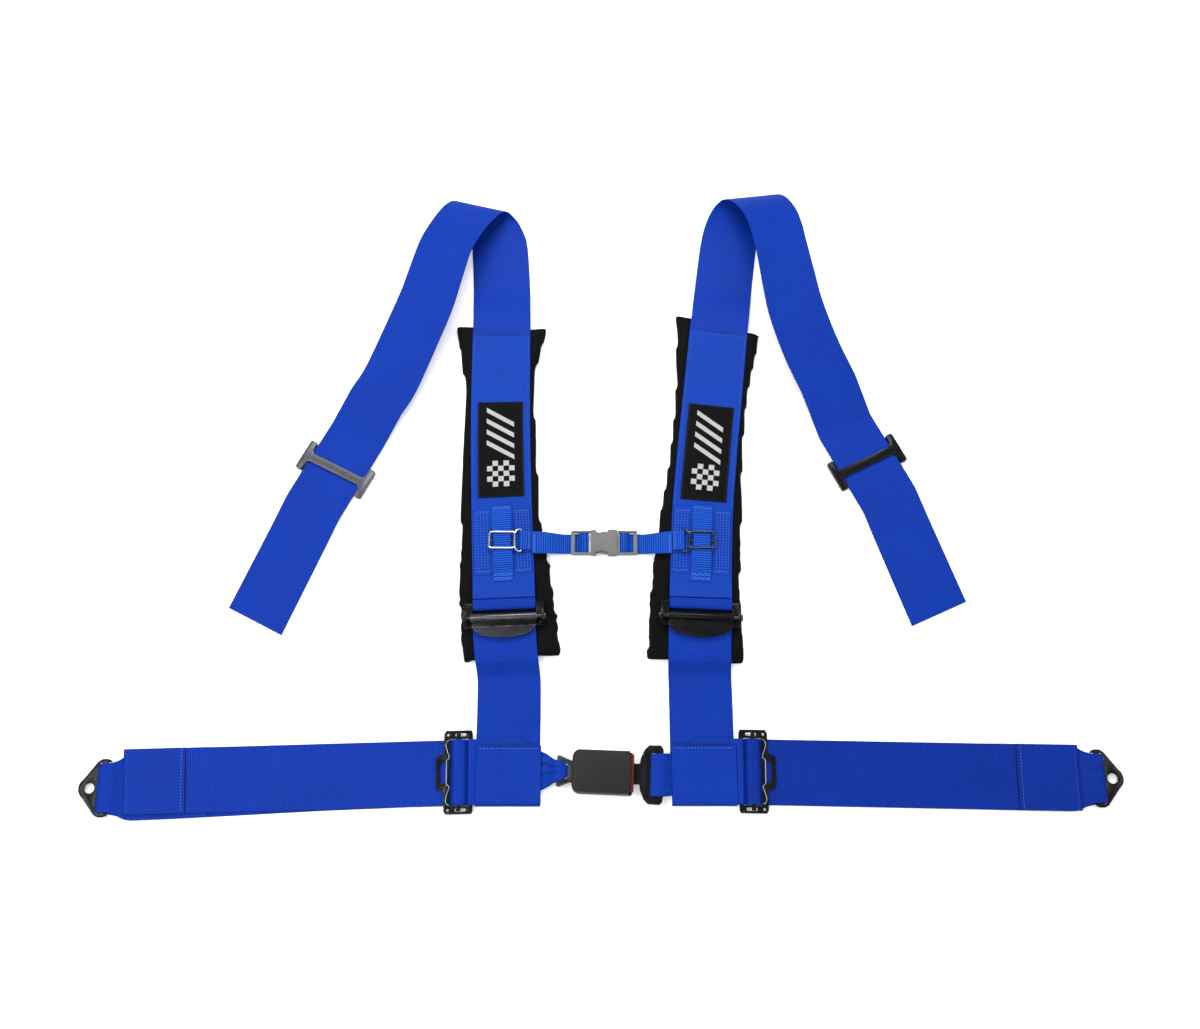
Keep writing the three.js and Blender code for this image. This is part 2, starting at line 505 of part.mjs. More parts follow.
// ---------------------------------------------------------------- shoulder straps
function shoulderSide(side) {
  const s = STRAP[side];
  const [cx, cy] = s.cam;
  const camLean = leanAt(side, cy);
  const lap = LAP[side];
  const lapY = (x) => lap.adjuster[1] + (x - lap.adjuster[0]) * Math.tan(lap.turn);
  const flat = (x, y, z, lean = 0) => ({ p: [x, y, z], a: [HALF * Math.cos(lean), HALF * Math.sin(lean), 0] });

  // place a station by its distance d below the cam pin; the strap leaves the frame's line below the pad
  const place = (d, z) => {
    const t = THREE.MathUtils.smoothstep(d, 24, 90);
    const lean = camLean * (1 - t);
    const x = lerp(cx + d * Math.sin(camLean), s.foot, t);
    return flat(x, cy - d * Math.cos(camLean), z, lean);
  };

  // lower strap: pull tail's end under the strap, round the adjuster's lower bar, down over the pad's
  // end, behind the lap webbing, up over its front to the sewn end
  const low = [];
  const topZ = 15.9;
  for (const [d, z] of [[34, 10.6], [6, 10.6], [-2.5, 10.7], [-6.0, 11.4], [-7.7, 13.3], [-6.0, 15.2]]) {
    low.push(place(d, z));
  }
  for (const [d, z] of [[-2.5, topZ], [6, topZ], [12, 15.4], [20, 13.6], [34, 12.4], [44, 12.3]]) low.push(place(d, z));
  for (const [d, z] of [[52, 10.8], [60, 5.6], [68, 1.6], [76, LAYER[0]], [110, LAYER[0]], [150, LAYER[0]]]) {
    low.push(place(d, z));
  }
  const bottom = lapY(s.foot) - HALF;
  const top = s.flap;
  const turn = [[-1.5, LAYER[0]], [-4.0, 1.3], [-5.4, top / 2], [-4.2, top - 1.0], [-1.2, top], [30, top], [67, top]];
  for (const [dy, z] of turn) low.push(flat(s.foot + THREE.MathUtils.smoothstep(dy, -4, 0) * 1.5, bottom + dy, z));
  add(root, `shoulder_lower_webbing_${side}`, band(low), M.webbing);

  // cam adjuster, local frame: origin under the cam pin, +y up the strap
  const g = group(root, `shoulder_adjuster_${side}`, [cx, cy, 0], camLean);
  const base = union(
    plate(rect(-48.4, 48.4, -10, 20), [rect(-39.2, 39.2, 5.7, 12.6).reverse()], 12.1, 2.4),
    earPlate(1), earPlate(-1),
  );
  const pinHoles = rod([-52, 0, 22.4], [52, 0, 22.4], 2.7, 16);
  add(g, `shoulder_adjuster_frame_${side}`, toGeometry(base.subtract(pinHoles)), M.black);

  const pin = union(
    rod([-48.9, 0, 22.4], [48.9, 0, 22.4], 2.5, 16), rod([48.7, 0, 22.4], [50.6, 0, 22.4], 4, 16),
    rod([-50.6, 0, 22.4], [-48.7, 0, 22.4], 4, 16),
  );
  add(g, `cam_pin_${side}`, toGeometry(pin), M.steel);

  // lever: barrel on the pin, dark web, half-moon lip
  const lip = [];
  for (let i = 0; i <= 12; i += 1) {
    const x = lerp(38, -38, i / 12);
    lip.push([x, -10.2 - 14.2 * Math.sqrt(Math.max(0, 1 - (x / 38.4) ** 2))]);
  }
  const lever = union(
    rod([-39.8, 0, 22.4], [39.8, 0, 22.4], 4.9, 20), box(-39, 39, -10.8, -2, 19.0, 21.4),
    tilt(plate([[38, -9.4], ...lip, [-38, -9.4]], [], 19.2, 2.2, 0.5), -9.4, 20.3, 0.1),
  );
  add(g, `cam_lever_${side}`, toGeometry(lever.subtract(rod([-42, 0, 22.4], [42, 0, 22.4], 2.56, 20))), M.black);
  add(g, `cam_spring_${side}`, spring([-45.6, 0, 22.4], true, 3.3, 0.5, 4.8, 3), M.steel);

  // upper strap: sewn loop on the frame's upper bar, up the pad, over the arch, down to the tail's end
  const up = [];
  const climb = (dy, z) => {
    const [c, n] = [Math.cos(camLean), Math.sin(camLean)];
    up.push(flat(cx - dy * n, cy + dy * c, z, camLean));
  };
  for (const [dy, z] of [[48, 12.4], [40, 12.8], [32, 15.0], [23, 16.2], [16, 16.2], [12.4, 15.6]]) climb(dy, z);
  for (const [dy, z] of [[11.0, 13.3], [12.4, 11.1], [16, 10.6], [26, 10.6]]) climb(dy, z);
  for (const y of [-80, -40, 10, 60, 110, 160, 210, 252]) up.push(flat(lineAt(side, y), y, 10.6, leanAt(side, y)));
  for (const pair of arch(side)) up.push(pair);
  add(root, `shoulder_upper_webbing_${side}`, band(up), M.webbing);
}

function earPlate(sign) {
  const profile = [[-9, 12.6], [20, 12.6], [21, 17], [17.5, 21.5], [5, 27.6], [-4, 27.8], [-8.5, 24.5], [-10, 18]];
  const shape = new THREE.Shape(profile.map(([y, z]) => new THREE.Vector2(y, z)));
  const g = new THREE.ExtrudeGeometry(shape, { depth: 2.3, bevelEnabled: false });
  g.rotateX(Math.PI / 2);
  g.rotateZ(Math.PI / 2);
  g.translate(sign > 0 ? 46.1 : -48.4, 0, 0);
  return solid(g);
}

// turn a solid about a line along x through (y, z)
function tilt(part, y, z, angle) {
  const g = toGeometry(part);
  g.translate(0, -y, -z);
  g.rotateX(angle);
  g.translate(0, y, z);
  return solid(g);
}

// the loop above the pad and the tail, as pairs of edge points
const ARCH = {
  left: {
    inner: [
      [-92, 270, 10.6], [-92.8, 290, 7.5], [-94.3, 325, 1.8], [-98.6, 385, 2.5], [-106.5, 409, 5.5],
      [-118, 424, 11], [-135, 429, 22], [-151, 407, 31], [-164, 381, 39], [-174, 354, 43.5], [-183, 314, 42],
      [-193.5, 272, 35], [-214, 220, 25], [-239, 162, 15], [-256.5, 133, 11],
    ],
    outer: [
      [-168.5, 270, 10.6], [-169.3, 290, 7.5], [-170.8, 325, 1.2], [-175.5, 389, 1], [-181, 422, 2],
      [-187.5, 442, 4.5], [-195.5, 452, 9.5], [-210, 437, 19], [-226, 406, 27], [-238, 378, 31.5],
      [-250, 340, 33], [-262.5, 303, 31], [-281, 257, 25], [-306, 198, 16], [-323.5, 169, 12],
    ],
    slide: [-337.6, 59.2, -0.474], end: [[-389, -156], [-458, -121]],
  },
  right: {
    inner: [
      [122.5, 280, 10.6], [124.5, 296, 7.5], [129, 330, 1.6], [137, 385, 3], [144, 415, 8], [155, 437, 16],
      [168, 444, 26], [184, 431, 36], [197, 405, 43], [204, 375, 45], [208, 345, 44.5], [214, 300, 40],
      [222, 262, 33], [240, 210, 22], [262.5, 160, 13],
    ],
    outer: [
      [198.5, 273, 10.6], [200.5, 289, 7.5], [205, 323, 1.2], [213, 382, 1], [220, 419, 2.5], [230.5, 446.5, 5],
      [242, 462, 10], [254, 453.5, 19], [265, 429.5, 27], [272, 402, 31], [277, 376, 32], [286, 327, 32],
      [294, 288, 29], [312, 236, 21], [333.5, 188, 13],
    ],
    slide: [342, 69.5, 0.46], end: [[383.5, -144], [451, -114]],
  },
};
const SLIDE_RUN = 56;

function arch(side) {
  const data = ARCH[side];
  const curve = (points) => new THREE.CatmullRomCurve3(points.map((p) => new THREE.Vector3(...p)));
  const [inner, outer] = [curve(data.inner), curve(data.outer)];
  const stations = [];
  const steps = 34;
  for (let i = 0; i <= steps; i += 1) {
    const [a, b] = [inner.getPoint(i / steps), outer.getPoint(i / steps)];
    a.z = Math.max(a.z, 0.78);
    b.z = Math.max(b.z, 0.78);
    const mid = a.clone().add(b).multiplyScalar(0.5);
    const across = side === 'left' ? a.clone().sub(b) : b.clone().sub(a);
    across.normalize().multiplyScalar(HALF);
    stations.push({ p: mid.toArray(), a: across.toArray() });
  }
  const [sx, sy, angle] = data.slide;
  const across = [HALF * Math.cos(angle), HALF * Math.sin(angle), 0];
  const down = [Math.sin(angle), -Math.cos(angle)];
  for (const [d, z] of [[-SLIDE_RUN, 2.9], [-20, 2.8], [20, 2.8], [SLIDE_RUN, 2.8]]) {
    stations.push({ p: [sx + down[0] * d, sy + down[1] * d, z], a: across });
  }
  const [e0, e1] = side === 'left' ? [data.end[0], data.end[1]] : [data.end[1], data.end[0]];
  const end = [(e0[0] + e1[0]) / 2, (e0[1] + e1[1]) / 2];
  const last = new THREE.Vector3(e0[0] - e1[0], e0[1] - e1[1], 0).normalize().multiplyScalar(HALF);
  const from = [sx + down[0] * SLIDE_RUN, sy + down[1] * SLIDE_RUN];
  for (const [t, z] of [[0.25, 1.2], [0.5, 0.72], [0.75, 0.7], [1, 0.7]]) {
    const a = new THREE.Vector3(...across).lerp(last, t).setLength(HALF);
    stations.push({ p: [lerp(from[0], end[0], t), lerp(from[1], end[1], t), z], a: a.toArray() });
  }
  return stations;
}

function tailSlide(side) {
  const [sx, sy, angle] = ARCH[side].slide;
  const g = group(root, `tail_${side}`, [sx, sy, 0], angle);
  const parts = [];
  for (const sign of [-1, 1]) {
    const rail = roundRect(sign > 0 ? 38.7 : -47.7, sign > 0 ? 47.7 : -38.7, -20.5, 20.5, 2.5);
    parts.push(plate(rail, [], 0.2, 6.4, 0.5));
    parts.push(box(-40, 40, sign * 17 - 2.2, sign * 17 + 2.2, 0.2, 1.8));
    const gusset = [[sign * 39, 9.6], [sign * 37.2, 7.2], [sign * 34.8, 5.4], [sign * 34.8, -5.4],
      [sign * 37.2, -7.2], [sign * 39, -9.6]];
    parts.push(plate(sign > 0 ? gusset.reverse() : gusset, [], 5.3, 1.3, 0.1));
  }
  parts.push(box(-40, 40, -5.4, 5.4, 3.9, 6.6));
  add(g, `tail_slide_${side}`, toGeometry(union(...parts)), M.black);
}

// ---------------------------------------------------------------- pads and what is sewn on them
const PAD = {
  left: [
    [-187, 261], [-131, 255], [-74, 258], [-83, 195], [-82, 132], [-78, 60], [-74, -5], [-60, -98], [-50, -181],
    [-107, -182], [-164, -189], [-172, -98], [-174.5, -5], [-176, 80], [-176, 167],
  ],
  right: [
    [106, 277], [158, 262], [209, 248], [193, 159], [184, 75], [179, -6], [175, -58], [173, -111], [172, -192],
    [116, -186], [60, -185], [64, -111], [69, -58], [76, -6], [88, 75], [98, 159],
  ],
};

function padSide(side) {
  const s = STRAP[side];
  const outline = PAD[side].slice();
  add(root, `pad_${side}`, plateGeometry(outline, [], 0, 9.5, 2.6), M.pad);

  const cy = s.cam[1];
  const strip = (y, z, h) => {
    const lean = leanAt(side, y);
    return { p: [lineAt(side, y), y, z], a: [h * Math.cos(lean), h * Math.sin(lean), 0] };
  };
  const topY = side === 'left' ? 246 : 250;
  const cover = [];
  for (const y of [topY, 200, 150, 105, 60, 10, -40]) cover.push(strip(y, 12.4, HALF));
  for (const [d, z] of [[58, 12.6], [50, 14.2], [40, 14.7], [32, 16.9], [25.4, 18.0]]) {
    cover.push(strip(cy + d, z, HALF));
  }
  add(root, `pad_cover_${side}`, band(cover), M.webbing);

  // woven label
  const labelY = side === 'left' ? 84 : 79;
  const label = [65.5, 20, -20, -65.5].map((d) => strip(labelY + d, 13.75, 29.2));
  add(root, `label_${side}`, band(label, 0.7), M.label);

  // box-stitched patch and the ladder strap across it
  const patchY = -40;
  const patch = [44, 8, -29].map((d) => strip(patchY + d, 13.9, 36));
  add(root, `chest_patch_${side}`, band(patch, 0.9), M.webbing);
  const ladder = [];
  const runs = [[46, 15.4], [38, 15.4], [29, 18.3], [-29, 18.3], [-38, 15.6], [-46, 15.4]];
  for (const [d, z] of runs) ladder.push(strip(patchY + d, z, CHEST / 2));
  ladder[ladder.length - 1].p[2] = 15.6;
  add(root, `ladder_strap_${side}`, band(ladder, 1.2), M.narrow);
}

// ---------------------------------------------------------------- chest strap
const CHEST_Y = -39.5;
const CLIP_Z = 6.4;

function chest() {
  const g = group(root, 'chest', [0, CHEST_Y, 0]);
  const sliderX = { left: lineAt('left', CHEST_Y), right: lineAt('right', CHEST_Y) };
  for (const side of ['left', 'right']) {
    const sign = side === 'left' ? 1 : -1;
    const x = (d) => sliderX[side] + sign * d;
    const hoop = [[x(-15.6), 10, 20.6], [x(15.6), 10, 20.6], [x(15.6), -10, 20.6], [x(-15.6), -10, 20.6]];
    const bar = [[x(-15.6), 0, 20.4], [x(-16.2), 0, 16.3], [x(16.2), 0, 16.3], [x(15.6), 0, 20.4]];
    const ring = [
      [x(15.4), 8.6, 20.5], [x(18.8), 13.8, 19.8], [x(22), 14.6, 18.2], [x(23.5), 13.2, 18], [x(23.5), -13.2, 18],
      [x(22), -14.6, 18.2], [x(18.8), -13.8, 19.8], [x(15.4), -8.6, 20.5],
    ];
    const slider = union(solid(wire(hoop, 1.3, 8, true)), solid(wire(bar, 1.2, 8)), solid(wire(ring, 1.25, 8)));
    add(g, `wire_slider_${side}`, toGeometry(slider), side === 'left' ? M.chrome : M.nickel);

    // strap: short sewn end, round the slider's ring, out to the clip, round its bar, free tail
    const ringX = sliderX[side] + sign * 23.5;
    const clipX = (c) => (side === 'left' ? c : 10.5 - c);
    const path = [];
    const put = (px, z) => path.push({ p: [px, 0, z], a: [0, CHEST / 2, 0] });
    put(ringX + sign * 13, 18.2);
    put(ringX + sign * 6, 19.6);
    for (const [dx, dz] of arc(0, 0, 2.35, 80, 265, 7)) put(ringX + sign * dx, 18 + dz);
    put(ringX + sign * 8, 15.8);
    put(ringX + sign * 16, 15.7);
    put(clipX(-69), 13.4);
    put(clipX(-60), 9.8);
    put(clipX(-46), 4.4);
    for (const [cx, z] of [[-38, 3.2], [-28, 3.2], [-25.0, 4.6], [-23.5, 8], [-21.8, 9.6], [-17.1, 9.6], [-15.3, 8.2]]) {
      put(clipX(cx), z);
    }
    for (const [cx, z] of [[-15.2, 4.6], [-16.6, 2.2], [-19.5, 1.0], [-24, 0.75], [-48, 0.75]]) put(clipX(cx), z);
    add(g, `chest_strap_${side}`, band(path, 1.2), M.narrow);
  }

  // side-release clip, socket half
  const rails = (x0, x1) => union(
    box(x0, x1, 13.1, 15.2, 3.6, 9.2), box(x0, x1, -15.2, -13.1, 3.6, 9.2));
  const socketOutline = [
    [-11.4, -15.2], [-6, -16.2], [-3.4, -12.6], [1.5, -11.4], [8, -12.6], [11, -16.2], [19, -16.2], [22, -14.8],
    [22, 14.8], [19, 16.2], [11, 16.2], [8, 12.6], [1.5, 11.4], [-3.4, 12.6], [-6, 16.2], [-11.4, 15.2],
  ];
  const socket = plate(socketOutline, [], CLIP_Z - 5.6, 11.2, 0.8)
    .add(rails(-36, -10))
    .add(box(-36, -31.4, -15.2, 15.2, 4.3, 8.4))
    .add(box(-22, -17, -14, 14, 4.4, 8.4))
    .subtract(box(-7, 26, -13.2, 13.2, CLIP_Z - 3.4, CLIP_Z + 3.4));
  add(g, 'chest_clip_socket', toGeometry(socket), M.clip);

  // plug half: ladder base and centre guide
  const plug = union(
    box(22.4, 24.3, -15.2, 15.2, 2.2, 10.6), rails(23.5, 46.5), box(41.9, 46.5, -15.2, 15.2, 4.3, 8.4),
    box(27.5, 32.5, -14, 14, 4.4, 8.4), box(-3, 23, -2.2, 2.2, CLIP_Z - 2.6, CLIP_Z + 2.6),
  );
  add(g, 'chest_clip_plug', toGeometry(plug), M.clip);

  // the plug's two sprung prongs
  for (const sign of [-1, 1]) {
    const outline = [
      [22.0, 6.2], [22.0, 9.4], [14, 10.6], [8.4, 11.4], [7.2, 14.2], [4, 14.4], [-1, 12.2], [-5.4, 8.6],
      [-5.2, 6.4], [0, 6.9], [8, 8.0],
    ].map(([x, y]) => [x, sign * y]);
    if (sign < 0) outline.reverse();
    const name = `chest_clip_prong_${sign > 0 ? 'upper' : 'lower'}`;
    add(g, name, plateGeometry(outline, [], CLIP_Z - 2.8, 5.6), M.clip);
  }
}

// ---------------------------------------------------------------- assembly
for (const side of ['left', 'right']) {
  lapSide(side);
  shoulderSide(side);
  padSide(side);
  tailSlide(side);
}
inboardWebbing('left', [-49.2, 0], 12, 34);
inboardWebbing('right', [65.5, 0], 24.6, 30);
buckle();
tongue();
chest();

export default root;
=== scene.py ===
import json
import math

import bmesh
import bpy
import numpy as np
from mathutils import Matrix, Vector, noise

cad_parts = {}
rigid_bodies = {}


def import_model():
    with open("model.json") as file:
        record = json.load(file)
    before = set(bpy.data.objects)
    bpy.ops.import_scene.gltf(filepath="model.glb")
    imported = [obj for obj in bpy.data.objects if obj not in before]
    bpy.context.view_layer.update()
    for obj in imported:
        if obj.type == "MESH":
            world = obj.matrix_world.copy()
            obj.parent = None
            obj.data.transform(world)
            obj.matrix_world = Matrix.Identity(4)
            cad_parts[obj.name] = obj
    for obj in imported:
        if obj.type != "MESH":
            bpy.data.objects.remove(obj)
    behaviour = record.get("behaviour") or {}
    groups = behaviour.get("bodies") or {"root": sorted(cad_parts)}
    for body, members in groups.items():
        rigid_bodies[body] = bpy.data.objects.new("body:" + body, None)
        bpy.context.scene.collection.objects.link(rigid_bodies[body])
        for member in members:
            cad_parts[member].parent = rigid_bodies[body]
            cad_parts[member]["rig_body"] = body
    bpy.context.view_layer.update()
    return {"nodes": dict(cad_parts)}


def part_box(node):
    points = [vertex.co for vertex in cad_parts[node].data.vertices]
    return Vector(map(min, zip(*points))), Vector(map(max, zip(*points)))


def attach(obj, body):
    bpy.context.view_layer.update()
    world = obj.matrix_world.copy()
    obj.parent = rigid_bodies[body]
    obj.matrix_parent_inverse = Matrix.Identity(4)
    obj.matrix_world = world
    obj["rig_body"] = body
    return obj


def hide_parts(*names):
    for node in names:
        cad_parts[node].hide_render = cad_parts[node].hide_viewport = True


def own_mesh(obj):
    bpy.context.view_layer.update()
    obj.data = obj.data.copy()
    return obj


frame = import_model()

MM = 0.001
SIDES = ("left", "right")

# ---------------- sizes shared with the CAD
WEB, HALF, WEB_T = 76.2, 38.1, 1.4        # belt webbing: width, half width, thickness
CHEST, CHEST_T = 25.4, 1.2                # chest strap
LAYER = (0.7, 2.4, 4.1, 5.8)              # centre heights of stacked webbing
ON_PAD, ON_STRAP = 10.6, 12.4             # centre heights of the strap on the pad and of its cover
PAD_UNDER, PAD_TOP = 9.75, 12.0           # highest the pad stands under a strap and beside it
CHEST_PRESS = 4.5                         # how far the chest strap presses the pad's side down
BAR = -16.5                               # bracket's inner bar, from the bolt hole
CHEST_Y, PATCH_Y = -39.5, -40.0           # y of the chest strap and of the patches
CLIP_X = 5.25                             # x of the chest clip's middle
STITCH_LIFT = 0.05                        # stitches over their cloth
LAP = {
    "left": dict(adjuster=(-166, -321), turn=0.028, outward=math.pi, down=1,
                 bolt=431.7, drop=6.5, hem=394, seam=295, skew=0.07),
    "right": dict(adjuster=(180, -320), turn=-0.0182, outward=0.0, down=-1,
                  bolt=421.5, drop=0.6, hem=384, seam=288, skew=-0.02),
}
# shoulder strap centre lines on the pads are (y, x)
STRAP = {
    "left": dict(foot=-109, cam=(-116.4, -138.2), flap=7.8, top=246, label=84, line=(
        (-190, -114.4), (-138.2, -116.4), (-90, -118.6), (-38, -121.5), (84, -127), (160, -129),
        (275, -130.4))),
    "right": dict(foot=121, cam=(122.3, -137.5), flap=8.7, top=250, label=79, line=(
        (-190, 119.6), (-137.5, 122.3), (-82, 124.4), (2, 129), (79, 136.8), (150, 145),
        (276, 159.8))),
}
# the loop above each pad and the free tail, by their two edges
ARCH = {
    "left": dict(
        inner=((-92, 270, 10.6), (-92.8, 290, 7.5), (-94.3, 325, 1.8), (-98.6, 385, 2.5),
               (-106.5, 409, 5.5), (-118, 424, 11), (-135, 429, 22), (-151, 407, 31),
               (-164, 381, 39), (-174, 354, 43.5), (-183, 314, 42), (-193.5, 272, 35),
               (-214, 220, 25), (-239, 162, 15), (-256.5, 133, 11)),
        outer=((-168.5, 270, 10.6), (-169.3, 290, 7.5), (-170.8, 325, 1.2), (-175.5, 389, 1),
               (-181, 422, 2), (-187.5, 442, 4.5), (-195.5, 452, 9.5), (-210, 437, 19),
               (-226, 406, 27), (-238, 378, 31.5), (-250, 340, 33), (-262.5, 303, 31),
               (-281, 257, 25), (-306, 198, 16), (-323.5, 169, 12)),
        slide=(-337.6, 59.2, -0.474), end=((-389, -156), (-458, -121))),
    "right": dict(
        inner=((122.5, 280, 10.6), (124.5, 296, 7.5), (129, 330, 1.6), (137, 385, 3),
               (144, 415, 8), (155, 437, 16), (168, 444, 26), (184, 431, 36), (197, 405, 43),
               (204, 375, 45), (208, 345, 44.5), (214, 300, 40), (222, 262, 33), (240, 210, 22),
               (262.5, 160, 13)),
        outer=((198.5, 273, 10.6), (200.5, 289, 7.5), (205, 323, 1.2), (213, 382, 1),
               (220, 419, 2.5), (230.5, 446.5, 5), (242, 462, 10), (254, 453.5, 19),
               (265, 429.5, 27), (272, 402, 31), (277, 376, 32), (286, 327, 32),
               (294, 288, 29), (312, 236, 21), (333.5, 188, 13)),
        slide=(342, 69.5, 0.46), end=((451, -114), (383.5, -144))),
}
SLIDE_RUN = 56                            # straight tail on each side of its slide
BUCKLE = dict(centre=(3, -322), turn=-0.04)

# the part's own origin in the shared frame, found from the buckle casing's centre
low, high = (Vector(corner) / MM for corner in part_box("buckle_cover_bottom"))
SHIFT = Vector((
    (low.x + high.x) / 2 - BUCKLE["centre"][0],
    (low.y + high.y) / 2 - BUCKLE["centre"][1],
    0,
))


# ---------------- numbers
def lerp(a, b, t):
    return a + (b - a) * t


def ease(x, low, high):
    t = min(max((x - low) / (high - low), 0.0), 1.0)
    return t * t * (3 - 2 * t)


def arc(cx, cz, r, start, end, steps):
    """Points of an arc, angles in degrees."""
    angles = (math.radians(lerp(start, end, i / steps)) for i in range(steps + 1))
    return [(cx + r * math.cos(a), cz + r * math.sin(a)) for a in angles]


def line_at(side, y):
    """x of a shoulder strap's centre line at y."""
    k = STRAP[side]["line"]
    n = len(k)

    def slope(i):
        a, b = max(i - 1, 0), min(i + 1, n - 1)
        return (k[b][1] - k[a][1]) / (k[b][0] - k[a][0])

    i = 0
    while i < n - 2 and y > k[i + 1][0]:
        i += 1
    h = k[i + 1][0] - k[i][0]
    t = (y - k[i][0]) / h
    value = (2 * t ** 3 - 3 * t ** 2 + 1) * k[i][1] + (t ** 3 - 2 * t ** 2 + t) * h * slope(i)
    return value + (3 * t ** 2 - 2 * t ** 3) * k[i + 1][1] + (t ** 3 - t ** 2) * h * slope(i + 1)


def lean_at(side, y):
    """Angle of a shoulder strap's width from +X at y."""
    return -math.atan(line_at(side, y + 0.5) - line_at(side, y - 0.5))


def in_buckle(x, y):
    """World x, y of a place in the buckle's own frame."""
    c, s = math.cos(BUCKLE["turn"]), math.sin(BUCKLE["turn"])
    cx, cy = BUCKLE["centre"]
    return cx + c * x - s * y, cy + s * x + c * y


def catmull(points, steps):
    """Points along a smooth curve through the given ones."""
    p = np.array(points, float)
    p = np.vstack([2 * p[0] - p[1], p, 2 * p[-1] - p[-2]])
    out = []
    for i in range(steps + 1):
        t = i / steps * (len(points) - 1)
        k = min(int(t), len(points) - 2)
        t -= k
        a, b, c, d = p[k:k + 4]
        out.append(0.5 * (2 * b + (c - a) * t + (2 * a - 5 * b + 4 * c - d) * t * t
                          + (3 * b - a - 3 * c + d) * t ** 3))
    return out


# ---------------- meshes
def linked(name, data):
    """A new object in the scene."""
    obj = bpy.data.objects.new(name, data)
    bpy.context.scene.collection.objects.link(obj)
    return obj


def smooth_shaded(mesh, below):
    """Smooth shading, sharp over an angle in degrees."""
    mesh.polygons.foreach_set("use_smooth", [True] * len(mesh.polygons))
    mesh.set_sharp_from_angle(angle=math.radians(below))


def make_object(name, verts, faces, material, uvs=None):
    """A mesh piece from points in millimetres; uvs are per face corner."""
    mesh = bpy.data.meshes.new(name)
    world = (np.asarray(verts, float) + np.array(SHIFT)) * MM
    mesh.from_pydata(world.tolist(), [], faces)
    if uvs is not None:
        layer = mesh.uv_layers.new(name="cloth")
        layer.data.foreach_set("uv", np.asarray(uvs, float).ravel())
    mesh.materials.append(material)
    mesh.validate()
    smooth_shaded(mesh, 50)
    return linked(name, mesh)


def place(obj, body, slot, *nodes):
    """Rides a piece on its body in place of the CAD nodes it stands for; its slot is not used."""
    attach(obj, body)
    if nodes:
        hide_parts(*nodes)
    return obj


def runs(points):
    """Length along a line of points, from its start to each of them."""
    steps = np.linalg.norm(np.diff(points, axis=0), axis=1)
    return np.concatenate([[0], np.cumsum(steps)])


class Strap:
    """A strip of webbing through stations (x, y, z, across x, across y, across z, fold)."""

    PITCH = 1.5            # spacing of the first, even resampling
    STEP = 7.0             # longest spacing kept where the strip is straight
    BEND = 5.0             # degrees turned before another station is kept
    PASSES = 2             # rounds of smoothing

    def __init__(self, stations, thickness):
        s = np.array([list(st) + [0] * (7 - len(st)) for st in stations], float)
        run = runs(s[:, :3])
        count = int(run[-1] / self.PITCH) + 2
        at = np.linspace(0, run[-1], count)
        s = np.stack([np.interp(at, run, s[:, k]) for k in range(7)], axis=1)
        for _ in range(self.PASSES):
            s[1:-1] = 0.25 * s[:-2] + 0.5 * s[1:-1] + 0.25 * s[2:]
        way = np.gradient(s[:, :3], axis=0)
        way /= np.linalg.norm(way, axis=1)[:, None]
        run = runs(s[:, :3])
        keep = [0]
        for i in range(1, count - 1):
            turned = math.degrees(math.acos(min(1.0, float(way[i] @ way[keep[-1]]))))
            if turned > self.BEND or run[i] - run[keep[-1]] > self.STEP:
                keep.append(i)
        keep.append(count - 1)
        self.run, self.length, self.thickness = run[keep], float(run[-1]), thickness
        self.p, across, self.fold = s[keep, :3], s[keep, 3:6], s[keep, 6]
        self.half = np.linalg.norm(across, axis=1)
        self.across = across / self.half[:, None]
        normal = np.cross(way[keep], self.across)
        self.normal = normal / np.linalg.norm(normal, axis=1)[:, None]

    def near(self, x, y, z):
        """Run along the strip, at its centre, that is nearest to a point."""
        fine = np.linspace(0, self.length, int(self.length) + 1)
        line = np.stack([np.interp(fine, self.run, self.p[:, k]) for k in range(3)], axis=1)
        return float(fine[np.argmin(np.linalg.norm(line - np.array([x, y, z]), axis=1))])

    def surface(self, run, v, lift=0.0):
        """Point on the face that looks up, v millimetres across from the centre, and its normal."""
        def at(rows):
            return np.array([np.interp(run, self.run, rows[:, k]) for k in range(3)])

        normal = at(self.normal)
        normal /= np.linalg.norm(normal)
        if normal[2] < 0:
            normal = -normal
        return at(self.p) + at(self.across) * v + normal * (self.thickness / 2 + lift), normal

    def build(self, name, material, columns=16):
        """The strip as a closed mesh with rounded selvedges; UV is across and along, in metres."""
        t = self.thickness
        inner = np.linspace(-1, 1, columns + 1)
        edge = ((0.08, 0.25), (0.0, 0.0), (0.08, -0.25))
        section = [(f, 0.35, 0.5) for f in inner]
        section += [(1.0, inset, z) for inset, z in edge]
        section += [(f, 0.35, -0.5) for f in inner[::-1]]
        section += [(-1.0, inset, -z) for inset, z in edge]
        n = len(section)
        verts, coords = [], []
        for i, run in enumerate(self.run):
            for f, inset, z in section:
                v = f * (self.half[i] - inset)
                ripple = self.fold[i] * math.cos(3.5 * math.pi * f)
                verts.append(self.p[i] + self.across[i] * v + self.normal[i] * (z * t + ripple))
                coords.append((v * MM, run * MM))
        faces = []
        for i in range(len(self.run) - 1):
            for k in range(n):
                m = (k + 1) % n
                faces.append((i * n + k, i * n + m, (i + 1) * n + m, (i + 1) * n + k))
        last = (len(self.run) - 1) * n
        faces += [tuple(range(n))[::-1], tuple(last + k for k in range(n))]
        uvs = [coords[v] for face in faces for v in face]
        return make_object(name, verts, faces, material, uvs)


